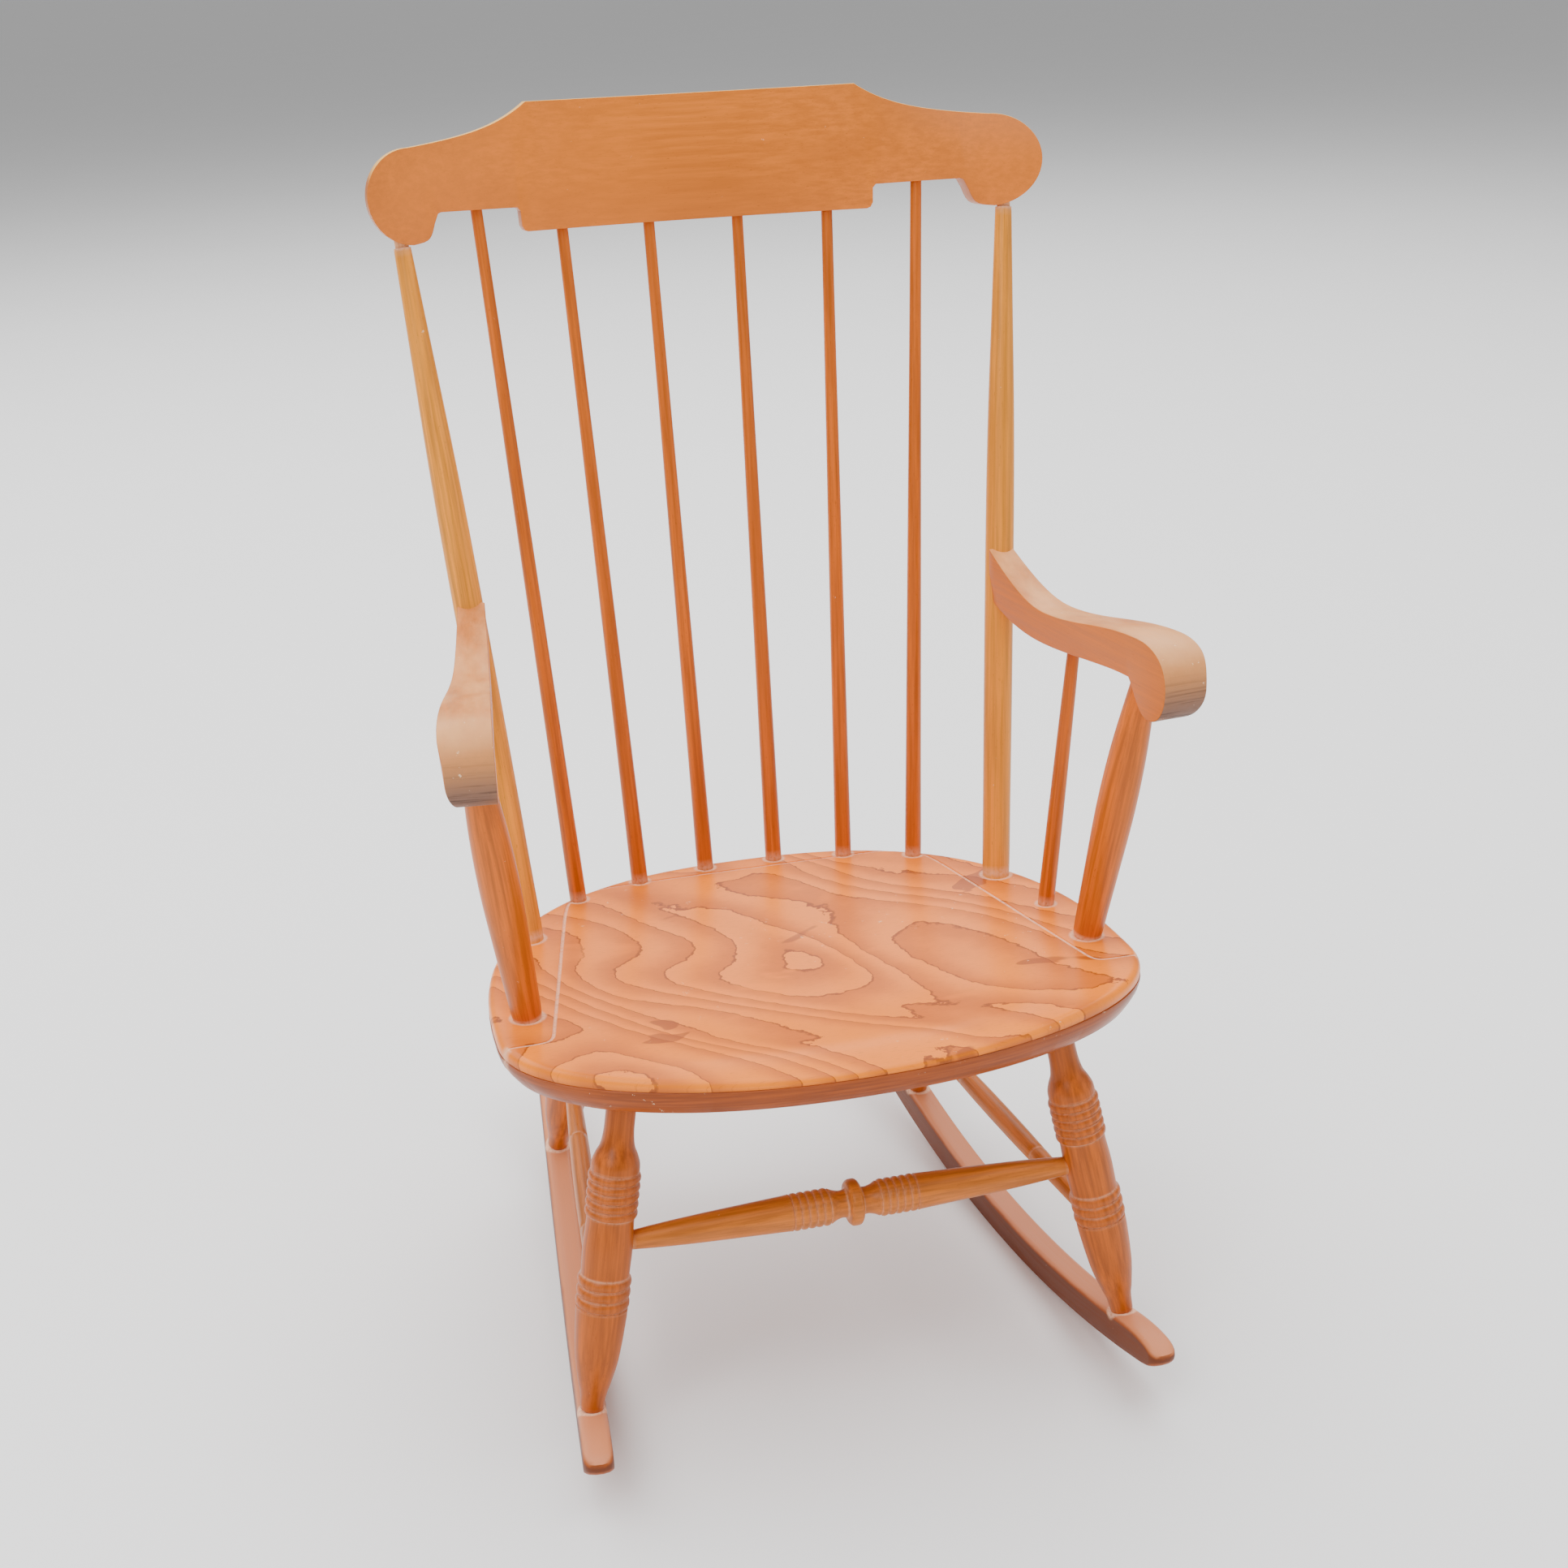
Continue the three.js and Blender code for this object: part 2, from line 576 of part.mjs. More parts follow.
function armPost([word, side]) {
  const from = at(side * ARM_POST_SPACING / 2, ARM_POST_FOOT_Y, 0);
  const to = armPoint(side, ARM_LENGTH - 58, ARM_FRONT_WIDTH * 0.415, ARM_REAR_TOP - 52);
  return turning(`arm_post_${word}`, armPostProfile(shaftLength(from, to)), from, to);
}

function armSpindle([word, side]) {
  const from = at(side * ARM_SPINDLE_SPACING / 2, ARM_SPINDLE_FOOT_Y, 0);
  const to = armPoint(side, 122, ARM_FRONT_WIDTH * 0.44, ARM_REAR_TOP - 59);
  return turning(`arm_spindle_${word}`, armSpindleProfile(shaftLength(from, to)), from, to, SPINDLE_SIDES);
}

// The screw that holds an arm to its back post, and the plug that closes its hole behind.
function armFastener([word, side]) {
  const joint = armJoint(side);
  const back = at(0, 1, 0).transformDirection(armPlace(side));
  const along = (distance) => joint.clone().addScaledVector(back, distance);
  const seatOfHead = POST_SKIN - PLUG_LENGTH - CLEARANCE;
  const plug = turning(`arm_plug_${word}`, plugProfile(PLUG_LENGTH), along(POST_SKIN), along(-POST_SKIN),
    SPINDLE_SIDES);
  const screw = turning(`arm_screw_${word}`, screwProfile(SCREW_LENGTH), along(seatOfHead), along(-SCREW_LENGTH),
    SPINDLE_SIDES);
  const mouth = plug.profile[0][1] + CLEARANCE;
  const counterbore = lathe([[-POST_SKIN, mouth], [PLUG_LENGTH + CLEARANCE, mouth]], SPINDLE_SIDES);
  return { plug, screw, holes: [solid(counterbore, plug.place), screw.hole] };
}

function leg(name, side, along, [headX, headY]) {
  const from = rockerTop(side, along).applyMatrix4(unrest);
  const to = at(side * headX, headY, -SEAT_THICKNESS);
  return turning(name, legProfile(shaftLength(from, to)), from, to);
}

// A stretcher between two legs, each met at its own share of the leg's length, from skin to skin.
function stretcher(name, profile, first, firstShare, second, secondShare) {
  const on = (piece, share) => at(0, 0, share * piece.length).applyMatrix4(piece.place);
  const a = on(first, firstShare);
  const b = on(second, secondShare);
  const step = b.clone().sub(a).normalize().multiplyScalar(LEG_SKIN);
  const from = a.clone().add(step);
  const to = b.clone().sub(step);
  return turning(name, profile(shaftLength(from, to)), from, to);
}

const backPosts = SIDES.map(backPost);
const armFasteners = SIDES.map(armFastener);
const backSpindles = Array.from({ length: SPINDLES }, (_, number) => backSpindle(number));
const armPosts = SIDES.map(armPost);
const armSpindles = SIDES.map(armSpindle);
const frontLegs = SIDES.map(([word, side]) => leg(`front_leg_${word}`, side, -FRONT_FOOT, FRONT_LEG_HEAD));
const rearLegs = SIDES.map(([word, side]) => leg(`rear_leg_${word}`, side, REAR_FOOT, REAR_LEG_HEAD));

const frontStretcher = stretcher('front_stretcher', frontStretcherProfile, frontLegs[0], FRONT_STRETCHER_UP,
  frontLegs[1], FRONT_STRETCHER_UP);
const rearStretcher = stretcher('rear_stretcher', plainStretcherProfile, rearLegs[0], REAR_STRETCHER_UP,
  rearLegs[1], REAR_STRETCHER_UP);
const sideStretchers = SIDES.map(([word], i) => stretcher(`side_stretcher_${word}`, plainStretcherProfile,
  frontLegs[i], SIDE_STRETCHER_FRONT_UP, rearLegs[i], SIDE_STRETCHER_REAR_UP));

const holes = (pieces) => pieces.map((piece) => piece.hole);

const upper = new THREE.Group();
upper.applyMatrix4(rest);

const seatHoles = holes([...backPosts, ...backSpindles, ...armPosts, ...armSpindles, ...frontLegs, ...rearLegs]);
const seatSolid = cut(solid(seatBlank()), [solid(seatGroove()), ...seatHoles]);
upper.add(mesh('seat', geometryOf(seatSolid), WOOD.seat, 0.35));

const crestSolid = cut(crestBlank(), holes([...backPosts, ...backSpindles]));
upper.add(mesh('crest_rail', geometryOf(crestSolid), WOOD.crest));

SIDES.forEach(([word, side], i) => {
  const fastener = armFasteners[i];
  const armHoles = [...holes([backPosts[i], armPosts[i], armSpindles[i]]), fastener.screw.hole];
  const armSolid = cut(armBlank(side), armHoles);
  upper.add(mesh(`arm_${word}`, geometryOf(armSolid), WOOD.arm));
  upper.add(turnedMesh(backPosts[i], WOOD.post, fastener.holes));
  upper.add(turnedMesh(fastener.screw, STEEL));
  upper.add(turnedMesh(fastener.plug, WOOD.post));
  upper.add(turnedMesh(armPosts[i], WOOD.spindle));
  upper.add(turnedMesh(armSpindles[i], WOOD.spindle));
  upper.add(turnedMesh(frontLegs[i], DARK_WOOD.leg, holes([frontStretcher, sideStretchers[i]])));
  upper.add(turnedMesh(rearLegs[i], DARK_WOOD.leg, holes([rearStretcher, sideStretchers[i]])));
  upper.add(turnedMesh(sideStretchers[i], DARK_WOOD.stretcher));
});
backSpindles.forEach((piece) => upper.add(turnedMesh(piece, WOOD.spindle)));
upper.add(turnedMesh(frontStretcher, DARK_WOOD.stretcher));
upper.add(turnedMesh(rearStretcher, DARK_WOOD.stretcher));

const chair = new THREE.Group();
chair.add(upper);
SIDES.forEach(([word, side], i) => {
  const feet = [frontLegs[i], rearLegs[i]].map((piece) => piece.hole.transform(rest.elements));
  chair.add(mesh(`rocker_${word}`, geometryOf(cut(rockerBlank(side), feet)), DARK_WOOD.rocker));
});

// The origin goes under the middle of the chair's outer box.
chair.updateMatrixWorld(true);
const middle = new THREE.Box3().setFromObject(chair, true).getCenter(at(0, 0, 0));
chair.position.y = -middle.y;
chair.updateMatrixWorld(true);

export default chair;
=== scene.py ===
"""Finished look of a turned-wood rocking chair: varnished beech, dished seat, worn scroll arms."""

import json
import math

import bpy
import numpy as np
from mathutils import Matrix, Vector


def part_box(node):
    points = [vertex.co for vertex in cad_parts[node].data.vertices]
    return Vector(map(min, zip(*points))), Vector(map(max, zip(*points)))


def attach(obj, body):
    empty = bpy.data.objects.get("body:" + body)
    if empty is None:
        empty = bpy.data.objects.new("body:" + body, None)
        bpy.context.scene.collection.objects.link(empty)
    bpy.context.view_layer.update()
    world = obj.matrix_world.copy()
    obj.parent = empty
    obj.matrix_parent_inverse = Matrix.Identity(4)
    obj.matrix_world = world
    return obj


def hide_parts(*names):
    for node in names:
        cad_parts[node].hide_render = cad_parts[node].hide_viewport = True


bl_info = {
    "name": "Rocking Chair Finish",
    "version": (1, 0, 0),
    "blender": (4, 5, 0),
    "location": "3D View > Sidebar > Rocking Chair",
    "description": "Builds the smooth pieces and the wood finishes of a spindle-back rocking chair",
    "category": "Object",
}

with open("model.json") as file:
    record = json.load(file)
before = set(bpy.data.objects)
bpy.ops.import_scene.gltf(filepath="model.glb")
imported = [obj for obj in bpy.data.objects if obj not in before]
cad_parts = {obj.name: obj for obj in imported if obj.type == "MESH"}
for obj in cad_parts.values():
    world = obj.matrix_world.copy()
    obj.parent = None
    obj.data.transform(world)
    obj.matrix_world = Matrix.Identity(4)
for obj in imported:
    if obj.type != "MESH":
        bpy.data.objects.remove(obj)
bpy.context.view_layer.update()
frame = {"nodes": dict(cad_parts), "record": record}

MM = 0.001
SIDES = (("left", -1), ("right", 1))
SPINDLES = 6

# The design frame of the chair: the seat leans back in the rest frame about the rockers' roll centre.
SEAT_LEAN = math.radians(2)
ROCKER_RADIUS = 1.05
HALF_FACET = math.radians(1.2)
ROCKER_FLAT = ROCKER_RADIUS * math.cos(HALF_FACET)
ROLL_CENTRE = -0.084
SEAT_HEIGHT = 0.339


def rest_matrix():
    """Turns the design frame, with its origin on the seat between the back posts, into the rest frame."""
    lean = Matrix.Rotation(-SEAT_LEAN, 4, "X")
    drop = Matrix.Translation((0, -ROLL_CENTRE, SEAT_HEIGHT - ROCKER_RADIUS))
    upright = Matrix.Translation((0, 0, ROCKER_FLAT)) @ lean @ drop
    lowest = Vector(frame["record"]["mounts"][0]["pos_m"])
    return Matrix.Translation((0, lowest.y, 0)) @ upright


REST = rest_matrix()


# ---------------------------------------------------------------- settings


def colour(name, value, words):
    return bpy.props.FloatVectorProperty(
        name=name, description=words, default=value, subtype="COLOR", size=3, min=0, max=1
    )


def length(name, millimetres, words):
    return bpy.props.FloatProperty(
        name=name, description=words, default=millimetres * MM, unit="LENGTH", precision=4
    )


class WoodSettings(bpy.types.PropertyGroup):
    seat: colour("Seat", (0.860, 0.205, 0.001), "Varnished veneer of the seat")
    seat_line: colour("Seat figure", (0.400, 0.060, 0.001), "Late wood in the veneer's figure")
    seat_rim: colour("Seat rim", (0.220, 0.040, 0.001), "Stained edge of the seat")
    crest: colour("Crest", (0.700, 0.185, 0.014), "Crest rail")
    # Pale colour for the crest's edges that face up: a painted highlight from above, partly rubbed wood.
    edge_rub_and_highlight: colour("Board edges", (0.980, 0.560, 0.120), "Rubbed sawn edges")
    post: colour("Posts", (0.820, 0.290, 0.020), "Back posts")
    spindle: colour("Spindles", (0.620, 0.135, 0.004), "Spindles and arm posts")
    # Pale colour for the arms' tops and noses: worn bare wood, with a painted highlight on the tops.
    arm: colour("Arms", (0.620, 0.150, 0.006), "Sides of the arms")
    arm_worn: colour("Worn arms", (0.920, 0.430, 0.160), "Bare wood where hands rub")
    grime: colour("Grime", (0.200, 0.105, 0.070), "Grey-brown dirt in the worn noses")
    leg: colour("Legs", (0.500, 0.105, 0.006), "Legs")
    stretcher: colour("Stretchers", (0.600, 0.165, 0.018), "Stretchers")
    rocker: colour("Rockers", (0.380, 0.080, 0.010), "Rockers")
    # Painted shade: the rockers' upright sides are darkened to this colour.
    rocker_side: colour("Rocker sides", (0.085, 0.017, 0.003), "Dark stain on the rockers' sides")
    # Pale colour for the rockers' tops: a painted highlight from above, partly rubbed bare wood.
    rocker_top: colour("Rocker tops", (0.700, 0.250, 0.110), "Wood rubbed bare on the rockers")
    dust: colour("Dust", (0.88, 0.50, 0.32), "Pale dust in grooves and round joints")
    chip: colour("Chips", (0.95, 0.66, 0.40), "Bare wood in chips")
    steel: colour("Steel", (0.55, 0.54, 0.52), "Screws")


class SizeSettings(bpy.types.PropertyGroup):
    edge_round: length("Edge rounding", 1.6, "Rounding of the sawn boards' edges")
    rocker_round: length("Rocker rounding", 4.5, "Rounding of the rockers' top edges")
    groove_width: length("Groove width", 3.6, "Width of the line routed in the seat")
    groove_depth: length("Groove depth", 1.5, "Depth of the line routed in the seat")
    turning_steps: bpy.props.IntProperty(
        name="Turning steps", description="Facets round a turned piece", default=48, min=12, max=96
    )
    lens: bpy.props.FloatProperty(name="Lens", description="Focal length", default=52.73, unit="CAMERA")
    floor_size: length("Floor", 80000, "Side of the square floor")


def paint(name):
    """One of the chair's colours, by the name of its setting."""
    return tuple(getattr(bpy.context.scene.rocking_chair_wood, name))


def sizes():
    return bpy.context.scene.rocking_chair_sizes


# ---------------------------------------------------------------- node helpers


COAT_ROUGHNESS = 0.25
SPECULAR = 0.22
BUMP_DEPTH = 0.0006


class Nodes:
    """Short ways to add shader nodes to one material."""

    def __init__(self, name):
        self.material = bpy.data.materials.new(name)
        self.material.use_nodes = True
        self.tree = self.material.node_tree
        self.shader = self.tree.nodes["Principled BSDF"]

    def add(self, kind, **values):
        node = self.tree.nodes.new(kind)
        for key, value in values.items():
            setattr(node, key, value)
        return node

    def link(self, source, target):
        self.tree.links.new(source, target)

    def feed(self, socket, value):
        if isinstance(value, bpy.types.NodeSocket):
            self.link(value, socket)
        else:
            socket.default_value = value

    def grain(self):
        """Each piece's own place: z runs along its grain."""
        return self.add("ShaderNodeAttribute", attribute_name="grain").outputs["Vector"]

    def amount(self, name):
        return self.add("ShaderNodeAttribute", attribute_name=name).outputs["Fac"]

    def place(self):
        return self.add("ShaderNodeTexCoord").outputs["Object"]

    def scaled(self, vector, scale, turn=(0, 0, 0)):
        node = self.add("ShaderNodeMapping")
        self.link(vector, node.inputs["Vector"])
        node.inputs["Scale"].default_value = scale
        node.inputs["Rotation"].default_value = turn
        return node.outputs["Vector"]

    def noise(self, vector, scale, detail=4.0, roughness=0.55, distortion=0.0):
        """Noise on a vector, with its own scale, in cycles per metre, along each axis."""
        node = self.add("ShaderNodeTexNoise")
        self.link(self.scaled(vector, scale), node.inputs["Vector"])
        node.inputs["Scale"].default_value = 1.0
        node.inputs["Detail"].default_value = detail
        node.inputs["Roughness"].default_value = roughness
        node.inputs["Distortion"].default_value = distortion
        return node.outputs["Fac"]

    def reckon(self, operation, first, second=0.0, third=0.0):
        node = self.add("ShaderNodeMath", operation=operation)
        for socket, value in zip(node.inputs, (first, second, third)):
            self.feed(socket, value)
        return node.outputs["Value"]

    def times(self, first, second):
        return self.reckon("MULTIPLY", first, second)

    def plus(self, first, second):
        return self.reckon("ADD", first, second)

    def minus(self, first, second):
        return self.reckon("SUBTRACT", first, second)

    def larger(self, first, second):
        return self.reckon("MAXIMUM", first, second)

    def unsigned(self, value):
        return self.reckon("ABSOLUTE", value)

    def rise(self, value, low, high, to_low=0.0, to_high=1.0):
        """A smooth step from one value to another while the input goes from low to high."""
        node = self.add("ShaderNodeMapRange", interpolation_type="SMOOTHSTEP")
        self.feed(node.inputs["Value"], value)
        node.inputs["From Min"].default_value = low
        node.inputs["From Max"].default_value = high
        node.inputs["To Min"].default_value = to_low
        node.inputs["To Max"].default_value = to_high
        return node.outputs["Result"]

    def mix(self, amount, first, second):
        """One colour turning into another by the amount."""
        node = self.add("ShaderNodeMix", data_type="RGBA")
        self.feed(node.inputs["Factor"], amount)
        for socket, value in zip((node.inputs[6], node.inputs[7]), (first, second)):
            self.feed(socket, value if isinstance(value, bpy.types.NodeSocket) else (*value, 1))
        return node.outputs[2]

    def facing(self, name):
        """One axis of the way that the surface faces."""
        return self.axis(self.add("ShaderNodeNewGeometry").outputs["Normal"], name)

    def axis(self, vector, name):
        node = self.add("ShaderNodeSeparateXYZ")
        self.link(vector, node.inputs["Vector"])
        return node.outputs[name]

    def finish(self, tint, roughness, height, coat, relief=0.35):
        """Feeds the shader, with the height as relief, and gives back the material."""
        shader = self.shader
        self.feed(shader.inputs["Base Color"], tint)
        self.feed(shader.inputs["Roughness"], roughness)
        shader.inputs["Coat Weight"].default_value = coat
        shader.inputs["Coat Roughness"].default_value = COAT_ROUGHNESS
        shader.inputs["Specular IOR Level"].default_value = SPECULAR
        bump = self.add("ShaderNodeBump")
        bump.inputs["Strength"].default_value = relief
        bump.inputs["Distance"].default_value = BUMP_DEPTH
        self.link(height, bump.inputs["Height"])
        self.link(bump.outputs["Normal"], shader.inputs["Normal"])
        return self.material


def shade(tint, factor):
    return tuple(min(1.0, channel * factor) for channel in tint)


# ---------------------------------------------------------------- wood finishes


VARNISH_COAT = 0.12
WORN_COAT = 0.1
SEAT_COAT = 0.14

# Wear on an arm's nose: how far back it reaches, and how far below the arm's top the dirt lies.
NOSE_REACH = 0.06
DIRT_STARTS = 0.028
DIRT_DEEP = 0.068

# Rings of dust round a foot: fully there to the first distance from the wood, gone at the second, in mm.
RING_SOLID = 1.5
RING_GONE = 4.2


def beech_parts(nodes, tint, figure=1.0):
    """Beech under stain: streaks along the grain, cloudy stain and short dark flecks."""
    grain = nodes.grain()
    streaks = nodes.noise(grain, (260, 260, 7), 6.0, 0.62)
    fibres = nodes.noise(grain, (900, 900, 26), 4.0, 0.6)
    clouds = nodes.noise(grain, (16, 16, 5), 3.0, 0.5, 0.6)
    flecks = nodes.noise(grain, (1300, 1300, 190), 2.0, 0.5)
    dark = shade(tint, 1 - 0.38 * figure)
    light = shade(tint, 1 + 0.2 * figure)
    body = nodes.mix(nodes.rise(streaks, 0.3, 0.72), dark, light)
    body = nodes.mix(nodes.rise(clouds, 0.35, 0.7, 0.0, 0.55), body, shade(tint, 0.78))
    body = nodes.mix(nodes.rise(fibres, 0.55, 0.8, 0.0, 0.35), body, shade(tint, 0.55))
    body = nodes.mix(nodes.rise(flecks, 0.66, 0.74, 0.0, 0.5), body, shade(tint, 0.42))
    return grain, body, streaks, fibres


def worn(nodes, grain, body, amount):
    """Small pale chips and scuffs in the varnish."""
    chips = nodes.noise(grain, (150, 150, 90), 5.0, 0.7)
    patches = nodes.noise(grain, (22, 22, 9), 2.0)
    mask = nodes.times(nodes.rise(chips, 0.68, 0.73), nodes.rise(patches, 0.5, 0.62))
    mask = nodes.times(mask, amount)
    return nodes.mix(mask, body, paint("chip")), mask


def dusted(nodes, grain, body, dust, amount=1.0):
    """Pale dust by the given mask, broken up by a fine noise."""
    broken = nodes.rise(nodes.noise(grain, (420, 420, 300), 3.0), 0.3, 0.55, 0.45, 1.0)
    mask = nodes.times(nodes.times(dust, broken), amount)
    return nodes.mix(mask, body, paint("dust")), mask


def turned_wood(name, tint, wear=0.6, dust_amount=0.8):
    """Varnish on turned wood, chipped, with dust in its grooves and at its feet."""
    nodes = Nodes(name)
    grain, body, streaks, fibres = beech_parts(nodes, tint)
    body, chips = worn(nodes, grain, body, wear)
    body, dust = dusted(nodes, grain, body, nodes.amount("dust"), dust_amount)
    rough = nodes.rise(streaks, 0.3, 0.7, 0.34, 0.5)
    rough = nodes.plus(rough, nodes.times(nodes.larger(dust, chips), 0.35))
    height = nodes.minus(nodes.times(fibres, 0.4), nodes.times(chips, 0.8))
    return nodes.finish(body, rough, height, VARNISH_COAT)


def crest_wood(tint):
    """Even varnish on the bent rail, darker on its sawn edges, with a painted highlight, partly rubbed
    wood, on those that face up.
    """
    nodes = Nodes("crest_varnish")
    grain, body, streaks, fibres = beech_parts(nodes, tint, 0.45)
    haze = nodes.noise(grain, (5, 5, 4), 3.0, 0.5, 0.8)
    body = nodes.mix(nodes.rise(haze, 0.42, 0.68, 0.0, 0.45), body, shade(tint, 1.18))
    sawn = nodes.rise(nodes.unsigned(nodes.facing("Y")), 0.5, 0.9, 0.6, 0.0)
    body = nodes.mix(sawn, body, shade(tint, 0.5))
    # Painted highlight: faces that point up turn pale, as if lit from above; partly rubbed wood.
    rubbed = nodes.rise(nodes.facing("Z"), 0.3, 0.75, 0.0, 0.8)
    body = nodes.mix(rubbed, body, paint("edge_rub_and_highlight"))
    body, _ = worn(nodes, grain, body, 0.5)
    rough = nodes.rise(streaks, 0.3, 0.7, 0.36, 0.48)
    return nodes.finish(body, rough, nodes.times(fibres, 0.35), VARNISH_COAT)


def arm_wood(tint):
    """Varnish worn to bare wood on top, partly a painted highlight there, with dirt rubbed into the nose.
    """
    nodes = Nodes("arm_worn_varnish")
    grain, body, streaks, fibres = beech_parts(nodes, tint, 0.5)
    # Painted highlight: faces that point up turn pale, in patches, partly worn bare wood.
    rubbed = nodes.noise(grain, (30, 30, 12), 4.0, 0.6)
    top = nodes.rise(nodes.plus(nodes.facing("Z"), nodes.times(rubbed, 1.7)), 1.15, 2.35)
    body = nodes.mix(nodes.times(top, 0.85), body, paint("arm_worn"))
    flank = nodes.rise(nodes.unsigned(nodes.facing("X")), 0.55, 0.8, 1.0, 0.0)
    forward = nodes.rise(nodes.axis(grain, "Z"), ARM_LENGTH - NOSE_REACH, ARM_LENGTH - NOSE_REACH / 3)
    front = nodes.times(forward, flank)
    under = nodes.rise(nodes.axis(grain, "Y"), ARM_TOP - DIRT_DEEP, ARM_TOP - DIRT_STARTS, 1.0, 0.0)
    body = nodes.mix(nodes.times(front, 0.6), body, shade(paint("arm_worn"), 0.8))
    lines = nodes.noise(nodes.place(), (14, 14, 480), 4.0, 0.65)
    dirt_place = nodes.noise(grain, (26, 26, 40), 3.0)
    dirt = nodes.times(nodes.times(front, under), nodes.rise(dirt_place, 0.25, 0.5, 0.7, 1.0))
    body = nodes.mix(dirt, body, paint("grime"))
    scored = nodes.times(dirt, nodes.rise(lines, 0.48, 0.66, 0.0, 0.75))
    body = nodes.mix(scored, body, shade(paint("grime"), 0.25))
    chips = nodes.noise(grain, (95, 95, 70), 6.0, 0.75)
    chipped = nodes.times(nodes.rise(chips, 0.64, 0.68), nodes.plus(top, front))
    chipped = nodes.reckon("MINIMUM", nodes.times(chipped, 0.8), 0.8)
    body = nodes.mix(chipped, body, paint("chip"))
    rough = nodes.plus(nodes.rise(streaks, 0.3, 0.7, 0.36, 0.5), nodes.times(dirt, 0.25))
    height = nodes.minus(nodes.times(fibres, 0.4), nodes.times(chipped, 0.9))
    return nodes.finish(body, rough, height, WORN_COAT)


def veneer(nodes, grain, tint, line):
    """Rotary-cut veneer: wide contour bands, each darkening to a sharp late-wood edge."""
    turned = nodes.scaled(grain, (1, 1, 1), (0, 0, FIGURE_TURN))
    hills = nodes.noise(turned, (2.4, 5.4, 1), 1.5, 0.4, 0.45)
    ragged = nodes.noise(grain, (55, 70, 1), 4.0, 0.6)
    field = nodes.reckon("MULTIPLY_ADD", hills, 15.0, nodes.times(ragged, 0.34))
    slope = nodes.times(nodes.axis(turned, "Y"), 17.0)
    band = nodes.reckon("FRACT", nodes.plus(field, slope))
    body = nodes.mix(nodes.rise(band, 0.1, 1.0, 0.0, 0.56), shade(tint, 1.12), line)
    edge = nodes.rise(nodes.unsigned(nodes.minus(band, 0.98)), 0.0, 0.04, 0.75, 0.0)
    body = nodes.mix(edge, body, shade(line, 0.45))
    patches = nodes.noise(grain, (8, 13, 1), 2.5, 0.45, 0.8)
    body = nodes.mix(nodes.rise(patches, 0.665, 0.68, 0.0, 0.65), body, shade(line, 0.7))
    body = nodes.mix(nodes.rise(patches, 0.3, 0.38, 0.5, 0.0), body, shade(tint, 1.15))
    pores = nodes.noise(grain, (110, 1400, 1), 3.0, 0.5)
    return nodes.mix(nodes.rise(pores, 0.56, 0.75, 0.0, 0.35), body, shade(line, 0.7)), band, pores


def foot_rings(nodes, place, centres, radii):
    """Glue and dust that ring the foot of every turned piece that stands on a board."""
    rings = 0.0
    for centre, radius in zip(centres, radii):
        away = nodes.add("ShaderNodeVectorMath", operation="DISTANCE")
        nodes.link(place, away.inputs[0])
        away.inputs[1].default_value = centre
        solid = radius + RING_SOLID * MM
        ring = nodes.rise(away.outputs["Value"], solid, radius + RING_GONE * MM, 1.0, 0.0)
        rings = nodes.larger(rings, ring)
    return rings


def seat_wood(tint):
    """Veneered top, dark stained rim with scuffs, dust in the groove and round the feet."""
    nodes = Nodes("seat_veneer")
    grain = nodes.grain()
    body, band, pores = veneer(nodes, grain, tint, paint("seat_line"))
    rim_streaks = nodes.noise(grain, (14, 14, 420), 4.0, 0.6)
    stain = paint("seat_rim")
    rim_tint = nodes.mix(nodes.rise(rim_streaks, 0.3, 0.7), stain, shade(stain, 1.7))
    body = nodes.mix(nodes.amount("rim"), body, rim_tint)
    body = nodes.mix(nodes.times(nodes.amount("lip"), 0.35), body, shade(tint, 1.3))
    scuffs = nodes.noise(grain, (130, 130, 160), 6.0, 0.75)
    scuff_place = nodes.noise(grain, (7, 7, 7), 2.0)
    chips = nodes.times(nodes.rise(scuffs, 0.64, 0.68), nodes.rise(scuff_place, 0.5, 0.6))
    body = nodes.mix(nodes.times(chips, 0.8), body, paint("chip"))
    sunk = nodes.rise(nodes.axis(grain, "Z"), -1.0 * MM, -0.3 * MM, 1.0, 0.0)
    groove = nodes.times(nodes.amount("groove"), sunk)
    joints = nodes.larger(groove, foot_rings(nodes, grain, *seat_joints()))
    body, dust = dusted(nodes, grain, body, joints, 0.85)
    rough = nodes.plus(nodes.rise(band, 0.0, 1.0, 0.3, 0.42), nodes.times(dust, 0.3))
    height = nodes.minus(nodes.times(pores, 0.25), nodes.times(chips, 0.6))
    return nodes.finish(body, rough, height, SEAT_COAT, 0.25)


